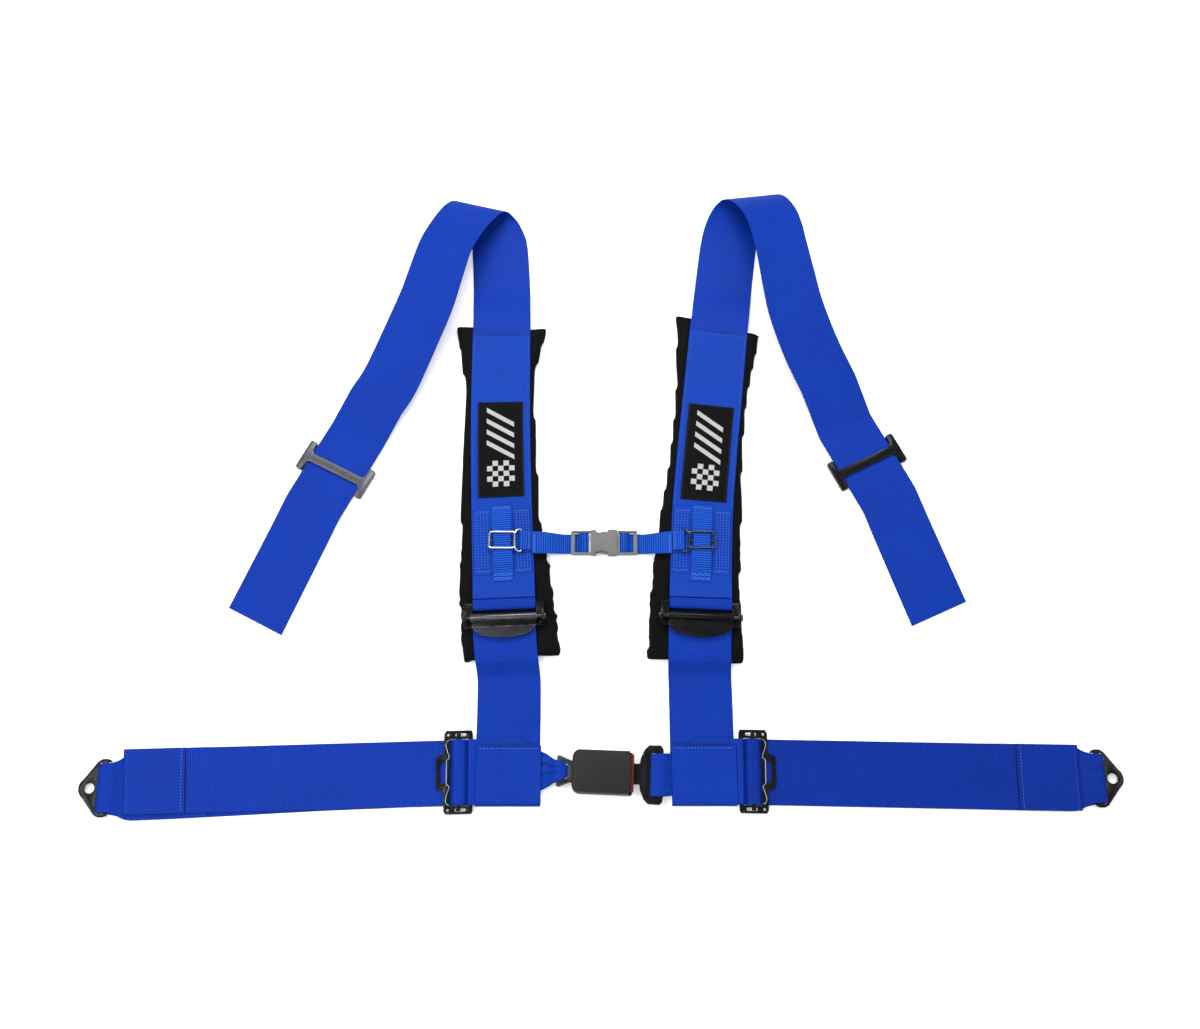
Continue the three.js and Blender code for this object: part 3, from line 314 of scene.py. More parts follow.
# ---------------- thread
def ring_faces(rings, sides, closed=False):
    """Faces between rings of points, with both ends shut unless the rings close on themselves."""
    faces = []
    for i in range(rings if closed else rings - 1):
        after = (i + 1) % rings
        for k in range(sides):
            m = (k + 1) % sides
            faces.append((i * sides + k, after * sides + k, after * sides + m, i * sides + m))
    if not closed:
        end = (rings - 1) * sides
        faces += [tuple(range(sides)), tuple(end + k for k in range(sides))[::-1]]
    return faces


def grain():
    """Unit stitch along x: rings of a slim spindle, and its faces."""
    rings = ((-0.5, 0.35), (-0.3, 0.9), (0.0, 1.0), (0.3, 0.9), (0.5, 0.35))
    sides = 6
    points = []
    for x, r in rings:
        for k in range(sides):
            a = 2 * math.pi * k / sides
            points.append((x, r * math.cos(a), r * math.sin(a)))
    return np.array(points), ring_faces(len(rings), sides)


GRAIN_POINTS, GRAIN_FACES = grain()


def thread(name, stitches, material, body, slot, radius):
    """One mesh of stitches, each (start, end, normal) in millimetres."""
    verts, faces = [], []
    for start, end, normal in stitches:
        along = end - start
        side = np.cross(normal, along)
        side /= np.linalg.norm(side)
        centre = (start + end) / 2
        base = len(verts)
        for x, y, z in GRAIN_POINTS:
            verts.append(centre + along * x + side * (y * radius) + normal * (z * radius))
        faces += [tuple(base + k for k in face) for face in GRAIN_FACES]
    return place(make_object(name, verts, faces, material), body, slot)


def seam(strap, start, end, pitch, share=0.72, lift=STITCH_LIFT):
    """Straight row of stitches between two (run, across) places on a strap."""
    a, b = np.array(start, float), np.array(end, float)
    count = max(1, int(round(np.linalg.norm(b - a) / pitch)))
    rows = []
    for i in range(count):
        first, second = lerp(a, b, i / count), lerp(a, b, (i + share) / count)
        p, normal = strap.surface(*first, lift)
        q, _ = strap.surface(*second, lift)
        rows.append((p, q, normal))
    return rows


def row_across(strap, run, half, pitch=3.6, share=0.5):
    """Straight row of stitches across a strap."""
    return seam(strap, (run, -half), (run, half), pitch, share)


def sealed_lip_and_shadow(strap, run):
    """The melted, darker lip along a strap's cut end, thick enough to paint the shadow under the end
    too.
    """
    half, sunk = HALF - 0.3, -0.25
    p, normal = strap.surface(run, -half, sunk)
    q, _ = strap.surface(run, half, sunk)
    return [(p, q, normal)]


def zigzag(strap, run, half, width, pitch=3.2):
    """Zigzag row of stitches across a strap."""
    count = max(2, int(round(2 * half / pitch)))
    corners = []
    for i in range(count + 1):
        swing = -width / 2 if i % 2 else width / 2
        corners.append(np.array([run + swing, lerp(-half, half, i / count)]))
    rows = []
    for first, second in zip(corners, corners[1:]):
        p, normal = strap.surface(*first, STITCH_LIFT)
        q, _ = strap.surface(*lerp(first, second, 0.86), STITCH_LIFT)
        rows.append((p, q, normal))
    return rows


# ---------------- materials
class Nodes:
    """Short names for building a material's node tree."""

    def __init__(self, name, colour, roughness, metallic=0.0, **sockets):
        self.material = bpy.data.materials.new(name)
        self.material.use_nodes = True
        self.tree = self.material.node_tree
        self.shader = self.tree.nodes["Principled BSDF"]
        self.material.diffuse_color = (*colour, 1)
        self.set("Base Color", (*colour, 1))
        self.set("Roughness", roughness)
        self.set("Metallic", metallic)
        for key, value in sockets.items():
            self.set(key.replace("_", " "), value)

    def set(self, socket, value):
        self.shader.inputs[socket].default_value = value

    def node(self, kind, **inputs):
        node = self.tree.nodes.new("ShaderNode" + kind)
        for key, value in inputs.items():
            self.plug(node, key, value)
        return node

    def plug(self, node, key, value):
        socket = node.inputs[int(key[1:])] if key[0] == "_" else node.inputs[key.replace("_", " ")]
        if isinstance(value, bpy.types.NodeSocket):
            self.tree.links.new(value, socket)
        else:
            socket.default_value = value

    def math(self, operation, a, b=0.0):
        node = self.node("Math", _0=a, _1=b)
        node.operation = operation
        return node.outputs[0]

    def add(self, a, b):
        return self.math("ADD", a, b)

    def times(self, a, b):
        return self.math("MULTIPLY", a, b)

    def wave(self, value, period):
        """A smooth 0 to 1 wave of a coordinate in metres."""
        turned = self.math("SINE", self.times(value, 2 * math.pi / period))
        return self.add(self.times(turned, 0.5), 0.5)

    def noise(self, vector, scale, detail=3.0, rough=0.55):
        return self.node("TexNoise", Vector=vector, Scale=scale, Detail=detail,
                         Roughness=rough).outputs["Fac"]

    def ramp(self, value, low, high):
        """Value stretched so that low becomes 0 and high becomes 1."""
        return self.node("MapRange", Value=value, From_Min=low, From_Max=high).outputs["Result"]

    def mix(self, factor, a, b):
        node = self.tree.nodes.new("ShaderNodeMix")
        node.data_type = "RGBA"
        for index, value in ((0, factor), (6, a), (7, b)):
            self.plug(node, f"_{index}", (*value, 1) if isinstance(value, tuple) else value)
        return node.outputs[2]

    def coords(self, kind):
        return self.tree.nodes.new("ShaderNodeTexCoord").outputs[kind]

    def split(self, vector):
        return self.node("SeparateXYZ", Vector=vector).outputs

    def bump(self, height, strength, distance):
        bump = self.node("Bump", Strength=strength, Distance=distance, Height=height)
        self.link(bump.outputs["Normal"], "Normal")

    def link(self, value, socket):
        self.tree.links.new(value, self.shader.inputs[socket])

    def worn_colour(self, patches, colour, shade, worn, low):
        """A mottled colour, rubbed to another one in patches of the bevelled edges."""
        edge = self.node("Attribute")
        edge.attribute_name = "wear"
        rub = self.times(edge.outputs["Fac"], self.ramp(patches, low, 1 - low))
        base = self.mix(self.ramp(patches, 0.3, 0.7), tuple(shade * c for c in colour), colour)
        self.link(self.mix(rub, base, worn), "Base Color")


def webbing(name, light, dark, line, rib=2.7, rib_depth=0.5, streak=0.2):
    """Woven strap: ribs across its width, herringbone warp yarns along it."""
    yarn = 1.25
    m = Nodes(name, light, 0.5, Specular_IOR_Level=0.06, Sheen_Weight=0.03, Sheen_Roughness=0.4)
    m.set("Sheen Tint", (0.3, 0.5, 1.0, 1))
    across, along = m.split(m.coords("UV"))[:2]
    ribs = m.wave(along, rib * MM)
    zig = m.math("PINGPONG", across, 4.2 * MM)
    warp = m.wave(m.add(m.times(zig, 0.9), m.times(along, 0.55)), yarn * MM)
    yarns = m.wave(across, yarn * 2 * MM)
    # painted shade: the colour darkens in the grooves between the ribs, as much as line sets
    painted_groove_shade = m.math("POWER", m.math("SUBTRACT", 1.0, ribs), 2.0)
    strands = m.node("CombineXYZ", X=m.times(across, 2600.0), Y=m.times(along, 180.0)).outputs[0]
    fibre = m.noise(strands, 1.0, 2.0)
    cloud = m.noise(m.coords("Object"), 14.0, 4.0)
    relief = m.add(m.times(ribs, rib_depth), m.times(warp, 0.35))
    relief = m.add(relief, m.times(yarns, streak))
    # the colour follows the relief, lighter on raised yarns: partly the weave's own pattern, partly
    # painted shade
    shade = m.add(m.times(relief, 0.55), m.times(fibre, 0.35))
    shade = m.add(shade, m.times(cloud, 0.35))
    shade = m.math("SUBTRACT", shade, m.times(painted_groove_shade, line))
    m.link(m.mix(m.ramp(shade, 0.2, 0.9), dark, light), "Base Color")
    m.link(m.ramp(m.add(cloud, fibre), -1.2, 3.0), "Roughness")
    m.bump(m.add(relief, m.times(fibre, 0.25)), 0.55, 0.25 * MM)
    return m.material


def knit(name, light, dark):
    """Spacer-mesh fabric: small open cells over a soft foam."""
    m = Nodes(name, light, 0.85, Specular_IOR_Level=0.05, Sheen_Weight=0.015, Sheen_Roughness=0.5)
    here = m.coords("Object")
    cell = m.node("TexVoronoi", Vector=here, Scale=520.0, Randomness=0.35).outputs["Distance"]
    cloud = m.noise(here, 30.0, 4.0)
    fuzz = m.noise(here, 1500.0, 2.0)
    open_cell = m.ramp(cell, 0.15, 0.6)
    shade = m.add(m.times(open_cell, 0.5), m.times(cloud, 0.5))
    m.link(m.mix(shade, dark, light), "Base Color")
    m.link(m.ramp(fuzz, -1.5, 1.4), "Roughness")
    m.bump(m.add(open_cell, m.times(fuzz, 0.4)), 0.5, 0.3 * MM)
    return m.material


def metal(name, colour, worn, roughness, metallic):
    """Plated or blackened steel: slight mottling, brighter where edges rub."""
    m = Nodes(name, colour, roughness, metallic)
    here = m.coords("Object")
    mottle = m.noise(here, 120.0, 5.0)
    fine = m.noise(here, 900.0, 3.0)
    m.worn_colour(mottle, colour, 0.8, worn, 0.35)
    spread = m.add(m.times(fine, 0.5), m.times(mottle, 0.5))
    m.link(m.ramp(spread, 0.5 - roughness * 1.4, 1.6 - roughness * 0.2), "Roughness")
    m.bump(fine, 0.12, 0.05 * MM)
    return m.material


def moulded(name, colour, worn, roughness, specular=0.45):
    """Moulded plastic with a fine spark-eroded grain."""
    m = Nodes(name, colour, roughness, Specular_IOR_Level=specular)
    here = m.coords("Object")
    pits = m.node("TexVoronoi", Vector=here, Scale=2000.0).outputs["Distance"]
    cloud = m.noise(here, 60.0, 4.0)
    m.worn_colour(cloud, colour, 0.85, worn, 0.3)
    m.link(m.ramp(m.add(cloud, pits), -1.2 + roughness, 1.6 + roughness), "Roughness")
    m.bump(pits, 0.25, 0.06 * MM)
    return m.material


def plain_thread(name, colour):
    m = Nodes(name, colour, 0.6, Specular_IOR_Level=0.2, Sheen_Weight=0.05)
    ply = m.wave(m.split(m.coords("Object"))[0], 0.5 * MM)
    fuzz = m.noise(m.coords("Object"), 900.0)
    m.link(m.mix(m.times(ply, fuzz), colour, tuple(0.6 * c for c in colour)), "Base Color")
    m.bump(ply, 0.3, 0.08 * MM)
    return m.material


def woven_label(name):
    """Black damask label: a grey border, a block of chequers and slanted bars."""
    black, white = (0.0016, 0.0016, 0.0018), (0.4, 0.41, 0.42)
    m = Nodes(name, black, 0.7, Specular_IOR_Level=0.05, Sheen_Weight=0.01)
    across, along = m.split(m.coords("UV"))[:2]
    wide = m.math("ABSOLUTE", across)

    def between(value, low, high):
        return m.times(m.math("GREATER_THAN", value, low * MM),
                       m.math("LESS_THAN", value, high * MM))

    square, art_half = 7.0, 17.5
    grid = m.node("CombineXYZ", X=m.add(across, 102.5 * square * MM), Y=along).outputs[0]
    chequer = m.node("TexChecker", Vector=grid, Scale=1000.0 / square).outputs["Fac"]
    flag = m.times(chequer, m.times(between(along, 14, 49), between(wide, -1, art_half)))
    slant = m.add(along, m.times(across, 0.6))
    bars = m.times(m.math("GREATER_THAN", m.wave(slant, 15 * MM), 0.62),
                   m.times(between(slant, 56.5, 116.5), between(wide, -1, art_half)))
    art = m.math("MAXIMUM", flag, bars)
    floats = m.wave(m.add(across, m.times(along, 0.5)), 0.9 * MM)
    border = m.times(m.math("GREATER_THAN", wide, 26.8 * MM), 0.012)
    weave = m.times(floats, 0.008)
    ground = m.mix(m.add(weave, border), black, white)
    worn = m.times(art, m.add(m.times(floats, 0.15), 0.82))
    m.link(m.mix(worn, ground, white), "Base Color")
    m.bump(m.add(m.times(floats, 0.5), art), 0.35, 0.12 * MM)
    return m.material


BELT = webbing("belt_webbing", (0.0036, 0.038, 0.345), (0.0013, 0.016, 0.185), 0.16)
# one webbing in two copies: the right one is darker, painted shade of the dimmer light on that side
LAP_BELT_LIT_AND_SHADED = {
    "left": webbing("lap_webbing_blue", (0.0034, 0.036, 0.345), (0.0012, 0.015, 0.175), 0.16),
    "right": webbing("lap_webbing_painted_shade", (0.003, 0.029, 0.295), (0.001, 0.012, 0.15), 0.16),
}
COVER = webbing("cover_webbing", (0.0043, 0.046, 0.36), (0.0015, 0.019, 0.19), 0.12, streak=0.34)
NARROW = webbing("chest_webbing", (0.007, 0.075, 0.46), (0.0015, 0.018, 0.17), 0.4, 2.9, 0.9)
# dark blue for the sealed cut ends: partly the melted lip, partly painted shadow under the end
SEALED_LIP_AND_SHADOW = plain_thread("sealed_lip_and_painted_shadow", (0.0012, 0.006, 0.06))
THREAD = plain_thread("blue_thread", (0.032, 0.095, 0.48))
PALE_THREAD = plain_thread("pale_blue_thread", (0.1, 0.19, 0.58))
BLACK_THREAD = plain_thread("black_thread", (0.006, 0.006, 0.007))
PAD_CLOTH = knit("pad_mesh_fabric", (0.0034, 0.0034, 0.0037), (0.001, 0.001, 0.0012))
LABEL = woven_label("woven_label")
BLACK_STEEL = metal("black_steel", (0.006, 0.006, 0.007), (0.16, 0.16, 0.17), 0.32, 0.8)
# lighter copies of the black steel for the left-hand lever, slide and barrel: painted reflection of
# the lamps
LEVER_PAINTED_REFLECTION = metal("black_steel_painted_reflection", (0.036, 0.036, 0.041), (0.5, 0.5, 0.52), 0.4, 0.85)
SLIDE_PAINTED_REFLECTION = metal("slide_painted_reflection", (0.07, 0.074, 0.085), (0.42, 0.43, 0.45), 0.45, 0.7)
BARREL_PAINTED_REFLECTION = metal("barrel_painted_reflection", (0.08, 0.08, 0.084), (0.5, 0.5, 0.5), 0.34, 0.9)
SPRING = metal("spring_wire", (0.34, 0.34, 0.35), (0.6, 0.6, 0.6), 0.36, 1.0)
GREY_STEEL = metal("grey_steel", (0.045, 0.047, 0.052), (0.3, 0.3, 0.3), 0.42, 0.9)
CHROME = metal("chrome", (0.6, 0.61, 0.63), (0.8, 0.8, 0.82), 0.14, 1.0)
NICKEL = metal("dark_nickel", (0.07, 0.07, 0.075), (0.4, 0.4, 0.4), 0.25, 1.0)
CASING = moulded("casing_plastic", (0.0046, 0.0045, 0.0056), (0.04, 0.04, 0.043), 0.5, 0.3)
# the clip's pale edge colour is partly rubbed wear and partly painted highlight on its bevelled
# edges
CLIP = moulded("clip_plastic", (0.135, 0.135, 0.132), (0.36, 0.36, 0.37), 0.26)
RED = moulded("button_plastic", (0.09, 0.005, 0.003), (0.17, 0.014, 0.01), 0.5, 0.25)


# ---------------- straps
def stitched(kind, side, stitches, material, radius, slot="webbing"):
    """Rows of stitches on one half of the harness."""
    return thread(f"{kind}_{side}", stitches, material, f"{side}_half", slot, radius)


def strap_piece(kind, side, strap, material, with_pieces=(),
                slot="webbing", body="half", columns=16):
    """Builds a strap in place of the CAD node of the same name."""
    name = f"{kind}_{side}"
    rides = f"chest_{side}" if body == "chest" else f"{side}_half"
    obj = place(strap.build(name + "_woven", material, columns), rides, slot, name)
    return obj


def lap_point(side, x, y):
    """World x, y of a place in the lap belt's own frame, whose x runs out to the anchor."""
    s = LAP[side]
    angle = s["outward"] + s["turn"]
    c, n = math.cos(angle), math.sin(angle)
    return s["adjuster"][0] + c * x - n * y, s["adjuster"][1] + n * x + c * y


def lap_webbing(side):
    """Anchor layer, round the bracket, in to the adjuster, round its bar, out to the folded hem."""
    s = LAP[side]
    hem, sewn = s["hem"], s["seam"]
    loop_x = s["bolt"] + BAR
    angle = s["outward"] + s["turn"]
    stations = []

    def put(x, z, shifted=False):
        y = s["down"] * s["drop"] * ease(x, 60, loop_x) if shifted else 0.0
        pinch = ease(x, hem - 6, loop_x - 8) if shifted else 0.0
        h = HALF - (HALF - 28.2) * pinch
        fold = 0.55 * pinch * ease(x, hem, hem + 8) * ease(z, 1.5, 4.0)
        turn = angle + s["skew"] * ease(x, 200, 290) * (1 - pinch)
        across = (-h * math.sin(turn), h * math.cos(turn), 0)
        stations.append((*lap_point(side, x, y), z, *across, fold))

    for x in (sewn, hem - 40, hem - 8, hem):
        put(x, LAYER[1], True)
    put(hem + 4, 3.4, True)
    put(hem + 11, 7.6, True)
    for x, z in arc(0, 5, 4.25, 105, -90, 14):
        put(loop_x + 1.8 * x, z, True)
    for x in (hem + 4, hem - 4, hem - 60, 260, 160, 60):
        put(x, LAYER[0], True)
    for x, z in ((2, 0.7), (-7.2, 0.72), (-9.8, 0.9), (-10.8, 1.6), (-10.1, 2.4), (-8.5, 3.2),
                 (-7.5, 5), (-6.5, 7.7), (-3.4, 8.7), (3, 8.7), (6.4, 7.7), (7.6, 5.6),
                 (8.2, 3.8), (9.8, 2.55), (12, LAYER[1]), (60, LAYER[1]),
                 (160, LAYER[1]), (sewn - 12, LAYER[1]), (sewn + 1, LAYER[2] + 0.1),
                 (hem - 40, LAYER[2]), (hem - 1.2, LAYER[2]), (hem, (LAYER[2] + LAYER[3]) / 2),
                 (hem - 1.2, LAYER[3]), (hem - 73, LAYER[3])):
        put(x, z)
    strap = Strap(stations, WEB_T)
    fold_row = strap.near(*lap_point(side, hem - 1.5, 0), LAYER[3])
    strap_piece("lap_webbing", side, strap, LAP_BELT_LIT_AND_SHADED[side],
                lap_stitches(side, strap, fold_row))


def lap_stitches(side, strap, fold_row):
    """The hem's row, a faint one by its fold and one at the sewn end, and both cut ends, their dark
    lips partly painted shadow.
    """
    hem_row = row_across(strap, strap.length - 4.2, 36.6)
    faint = row_across(strap, fold_row + 3.0, 36.4) + row_across(strap, 4.0, 36.0)
    ends = sealed_lip_and_shadow(strap, strap.length) + sealed_lip_and_shadow(strap, 0)
    return [stitched("lap_hem_stitches", side, hem_row, PALE_THREAD, 0.36),
            stitched("lap_fold_stitches", side, faint, THREAD, 0.34),
            stitched("lap_cut_ends_lip_and_shadow", side, ends, SEALED_LIP_AND_SHADOW, 0.8)]


def inboard_webbing(side, loop_at, throat, loop_half, tip, reach):
    """From the lap adjuster, pinched to a throat, to the buckle's plate or the tongue."""
    s = LAP[side]
    sign = 1 if side == "left" else -1
    ax, ay = s["adjuster"]
    slope = math.tan(s["turn"])
    bar_x = ax + sign * 14
    lx, ly = in_buckle(*loop_at)
    run = sign * (lx - bar_x)
    stations = []

    def put(d, z, start=bar_x):
        x = start + sign * d
        blend = ease(sign * (x - bar_x), run - 55, run)
        y = lerp(ay + (x - ax) * slope, ly, blend)
        turn = lerp(slope, BUCKLE["turn"], blend)
        to_loop = sign * (x - lx)
        pinch = ease(to_loop, -46, -29)
        h = lerp(lerp(HALF, throat, pinch), loop_half, ease(to_loop, -26, -3))
        h = lerp(h, tip, ease(to_loop, 0, 3.7 * reach))
        fold = (1.1 if side == "left" else 0.3) * pinch * (1 - ease(to_loop, -12, 0))
        stations.append((x, y, z, -h * math.sin(turn), h * math.cos(turn), 0, fold))

    put(41, LAYER[1])
    put(6, LAYER[1])
    for x, z in arc(0, 4.8, 2.75, -90, -180, 6):
        put(x * 1.25, z - 0.02)
    for x, z in arc(0, 4.75, 2.75, 165, 90, 6):
        put(x * 1.27, z)
    for d, z in ((3.6, 6.7), (7.4, 5.0), (12, LAYER[2]), (run - 46, LAYER[2]), (run - 40, LAYER[2]),
                 (run - 34, LAYER[2]), (run - 29, 4.2), (run - 22, 4.8), (run - 17, 5.4),
                 (run - 11.6, 7.6), (run - 7.8, 10.8), (run - 4.6, 12.5)):
        put(d, z)
    for x, z in arc(0, 9, 3.7, 90, -90, 12):
        put(x * reach, z, lx)
    for d, z in ((4.6, 5.4), (9, 4.9), (17, 3.4), (27, LAYER[1]), (33, LAYER[1]), (39, LAYER[1]),
                 (46, LAYER[1])):
        put(run - d, z)
    strap = Strap(stations, WEB_T)
    strap_piece("inboard_webbing", side, strap, BELT,
                columns=28)


def flat_station(x, y, z, lean=0.0, half=HALF):
    return x, y, z, half * math.cos(lean), half * math.sin(lean), 0


def shoulder_lower(side):
    """From the pull tail's end, round the adjuster, down behind the lap belt and up its front."""
    s = STRAP[side]
    cx, cy = s["cam"]
    lean = lean_at(side, cy)
    lap = LAP[side]
    stations = []

    def put(d, z):
        t = ease(d, 24, 90)
        x = lerp(cx + d * math.sin(lean), s["foot"], t)
        stations.append(flat_station(x, cy - d * math.cos(lean), z, lean * (1 - t)))

    for d, z in ((34, ON_PAD), (6, ON_PAD), (-2.5, 10.7), (-6.0, 11.4), (-7.7, 13.3), (-6.0, 15.2),
                 (-2.5, 15.9), (6, 15.9), (12, 15.4), (20, 13.6), (34, 12.4), (44, 12.3), (52, 10.8),
                 (60, 5.6), (68, 1.6), (76, LAYER[0]), (110, LAYER[0]), (150, LAYER[0])):
        put(d, z)
    bottom = lap["adjuster"][1] + (s["foot"] - lap["adjuster"][0]) * math.tan(lap["turn"]) - HALF
    flap = s["flap"]
    for dy, z in ((0.5, LAYER[0]), (-1.3, 1.3), (-2.2, flap / 2), (-1.5, flap - 1.0), (0.6, flap),
                  (30, flap), (67, flap)):
        stations.append(flat_station(s["foot"] + ease(dy, -4, 0) * 1.5, bottom + dy, z))
    strap = Strap(stations, WEB_T)
    end = strap.length
    stitches = seam(strap, (end - 3.2, -34.5), (end - 3.2, 35.5), 3.9, 0.5)
    # the flap's cut end gets a dark rod, partly its melted lip and partly painted shadow
    rows = [stitched("flap_stitches", side, stitches, PALE_THREAD, 0.42),
            stitched("flap_cut_end_lip_and_shadow", side, sealed_lip_and_shadow(strap, end), SEALED_LIP_AND_SHADOW, 0.8)]
    strap_piece("shoulder_lower_webbing", side, strap, BELT,
                rows)


def arch_stations(side):
    """The loop over the table, down to the slide and on to the tail's end."""
    data = ARCH[side]
    inner, outer = catmull(data["inner"], 150), catmull(data["outer"], 150)
    stations = []
    for a, b in zip(inner, outer):
        a[2], b[2] = max(a[2], 0.78), max(b[2], 0.78)
        across = (a - b) if side == "left" else (b - a)
        across *= HALF / np.linalg.norm(across)
        stations.append((*((a + b) / 2), *across))
    sx, sy, angle = data["slide"]
    across = np.array([HALF * math.cos(angle), HALF * math.sin(angle), 0])
    down = np.array([math.sin(angle), -math.cos(angle)])
    for d, z in ((-SLIDE_RUN, 2.9), (-20, 2.8), (20, 2.8), (SLIDE_RUN, 2.8)):
        stations.append((sx + down[0] * d, sy + down[1] * d, z, *across))
    e0, e1 = (np.array(p, float) for p in data["end"])
    last = np.array([*(e0 - e1), 0])
    last *= HALF / np.linalg.norm(last)
    start, end = np.array([sx, sy]) + down * SLIDE_RUN, (e0 + e1) / 2
    for t, z in ((0.25, 1.2), (0.5, 0.72), (0.75, 0.7), (1, 0.7)):
        a = lerp(across, last, t)
        stations.append((*lerp(start, end, t), z, *(a * HALF / np.linalg.norm(a))))
    return stations


def shoulder_upper(side):
    """Sewn loop on the adjuster, up the pad, over the arch and down to the free tail's end."""
    cx, cy = STRAP[side]["cam"]
    lean = lean_at(side, cy)
    stations = []
    for dy, z in ((48, 12.4), (40, 12.8), (32, 15.0), (23, 16.2), (16, 16.2), (12.4, 15.6),
                  (11.0, 13.3), (12.4, 11.1), (16, ON_PAD), (26, ON_PAD)):
        x, y = cx - dy * math.sin(lean), cy + dy * math.cos(lean)
        stations.append(flat_station(x, y, z, lean))
    for y in range(-100, 256, 8):
        stations.append(flat_station(line_at(side, y), y, ON_PAD, lean_at(side, y)))
    strap = Strap(stations + arch_stations(side), WEB_T)
    strap_piece("shoulder_upper_webbing", side, strap, BELT)


def pad_strip(side, y, z, half):
    """Station across a shoulder strap's own line."""
    return flat_station(line_at(side, y), y, z, lean_at(side, y), half)


def pad_cover(side):
    """Second layer of webbing sewn down both edges over the pad."""
    cy, top = STRAP[side]["cam"][1], STRAP[side]["top"]
    stations = [pad_strip(side, y, ON_STRAP, HALF) for y in range(top, -48, -8)]
    stations += [pad_strip(side, cy + d, z, HALF) for d, z in
                 ((58, 12.6), (50, 14.2), (40, 14.7), (32, 16.9), (25.4, 18.0))]
    strap = Strap(stations, WEB_T)
    stop = strap.length - 36
    rows = row_across(strap, 3.4, 35)
    for edge in (-1, 1):
        rows += seam(strap, (3.5, edge * 35.4), (stop, edge * 35.4), 3.8, 0.5)
    seams = stitched("cover_stitches", side, rows, THREAD, 0.34)
    # the cover's cut end gets a dark rod, partly its melted lip and partly painted shadow
    stitched("cover_cut_end_lip_and_shadow", side, sealed_lip_and_shadow(strap, 0), SEALED_LIP_AND_SHADOW, 0.75)
    strap_piece("pad_cover", side, strap, COVER,
                [seams])


def pad_label(side):
    """Woven label sewn on the cover along its border."""
    y = STRAP[side]["label"]
    strap = Strap([pad_strip(side, y + d, 13.75, 29.2) for d in range(-65, 67, 10)], 0.7)
    inset, half = 1.6, 27.6
    rows = []
    for edge in (-1, 1):
        rows += seam(strap, (inset, edge * half), (strap.length - inset, edge * half), 2.6, lift=0.0)
        run = inset if edge < 0 else strap.length - inset
        rows += seam(strap, (run, -half), (run, half), 2.6, lift=0.0)
    border = stitched("label_stitches", side, rows, BLACK_THREAD, 0.3, "label")
    strap_piece("label", side, strap, LABEL, [border],
                "label", columns=8)


def chest_patch(side):
    """Box-stitched reinforcement under the ladder strap."""
    stations = [pad_strip(side, PATCH_Y + d, 13.9, 36) for d in (43.5, 30, 10, -10, -30, -41.5)]
    strap = Strap(stations, 0.9)
    end = strap.length
    rows = []
    for run in (3.2, end - 4.6):
        for edge in (-1, 1):
            rows += seam(strap, (run, edge * 34), (run + 0.6, edge * 14), 4.2, 0.52)
            rows += seam(strap, (run + 1.7, edge * 32), (run + 1.1, edge * 15), 4.2, 0.3)
    dots = []
    for edge in (-1, 1):
        for v in (33.6, 30.4, 26.4, 22.4, 18.6):
            dots += seam(strap, (6, edge * v), (end - 6, edge * v), 3.7, 0.42)
    box = stitched("patch_stitches", side, rows, PALE_THREAD, 0.4)
    stitched("patch_filling", side, dots, PALE_THREAD, 0.3)
    strap_piece("chest_patch", side, strap, COVER, [box])


def ladder_strap(side):
    """Narrow strap humped between its sewn ends, which the chest slider runs on."""
    full, drawn_in = CHEST / 2, 10.6
    stations = [pad_strip(side, PATCH_Y + d, z, half) for d, z, half in
                ((46, 15.4, full), (38, 15.4, full), (29, 18.3, full), (13, 18.3, full),
                 (8, 18.5, drawn_in), (-8, 18.5, drawn_in), (-13, 18.3, full), (-29, 18.3, full),
                 (-40, 15.6, full), (-51, 15.6, full))]
    strap = Strap(stations, CHEST_T)
    end = strap.length
    rows = zigzag(strap, 2.6, 11, 2.6)
    for run in (end - 3, end - 8.2):
        rows += zigzag(strap, run, 11.5, 3.0)
    ends = stitched("ladder_stitches", side, rows, PALE_THREAD, 0.36, "narrow_webbing")
    strap_piece("ladder_strap", side, strap, NARROW,
                [ends], "narrow_webbing", columns=10)


def chest_strap(side):
    """Free tail on top, in to the clip, round its bar, back out and sewn round the slider's ring."""
    sign = 1 if side == "left" else -1
    ring = line_at(side, CHEST_Y) + sign * 23.5
    stations = []

    def put(x, z, sag=0.0):
        stations.append((x, CHEST_Y - sag, z, 0, CHEST / 2, 0))

    def clip_x(c):
        return c if side == "left" else 2 * CLIP_X - c

    put(ring + sign * 14, 16.6, 3.6)
    for c, z, sag in ((-69, 15.3, 3.4), (-58, 12.4, 3.0), (-50, 8.0, 2.0), (-43, 4.4, 0.9),
                      (-37, 3.2, 0.2), (-28, 3.2, 0), (-25.0, 4.6, 0), (-23.5, 8, 0),
                      (-21.8, 9.6, 0), (-16.6, 9.6, 0), (-14.6, 8.2, 0), (-14.5, 4.6, 0),
                      (-16.2, 2.2, 0), (-19.5, 1.0, 0), (-24, 0.75, 0), (-39, 0.8, 0),
                      (-44, 2.5, 0.3), (-50, 6.1, 0.8), (-58, 10.7, 0.8), (-69, 13.8, 0.3)):
        put(clip_x(c), z, sag)
    put(ring + sign * 18, 14.9)
    put(ring + sign * 8, 15.6)
    for dx, dz in arc(0, 0, 2.35, 265, 80, 12):
        put(ring + sign * dx, 18 + dz)
    put(ring + sign * 6, 19.6)
    put(ring + sign * 12, 18.3)
    strap = Strap(stations, CHEST_T)
    rows = zigzag(strap, 2.4, 11.6, 2.0, 2.4) + row_across(strap, strap.length - 2, 11.4, 2.6, 0.55)
    ends = thread(f"chest_stitches_{side}", rows, PALE_THREAD, f"chest_{side}", "narrow_webbing",
                  0.38)
    woven = strap_piece("chest_strap", side, strap, NARROW,
                        [ends], "narrow_webbing", "chest", columns=10)
    if side == "right":
        gather((woven, ends))


def gather(pieces):
    """Gives the right chest strap and its stitches meshes of their own."""
    for piece in pieces:
        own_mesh(piece)


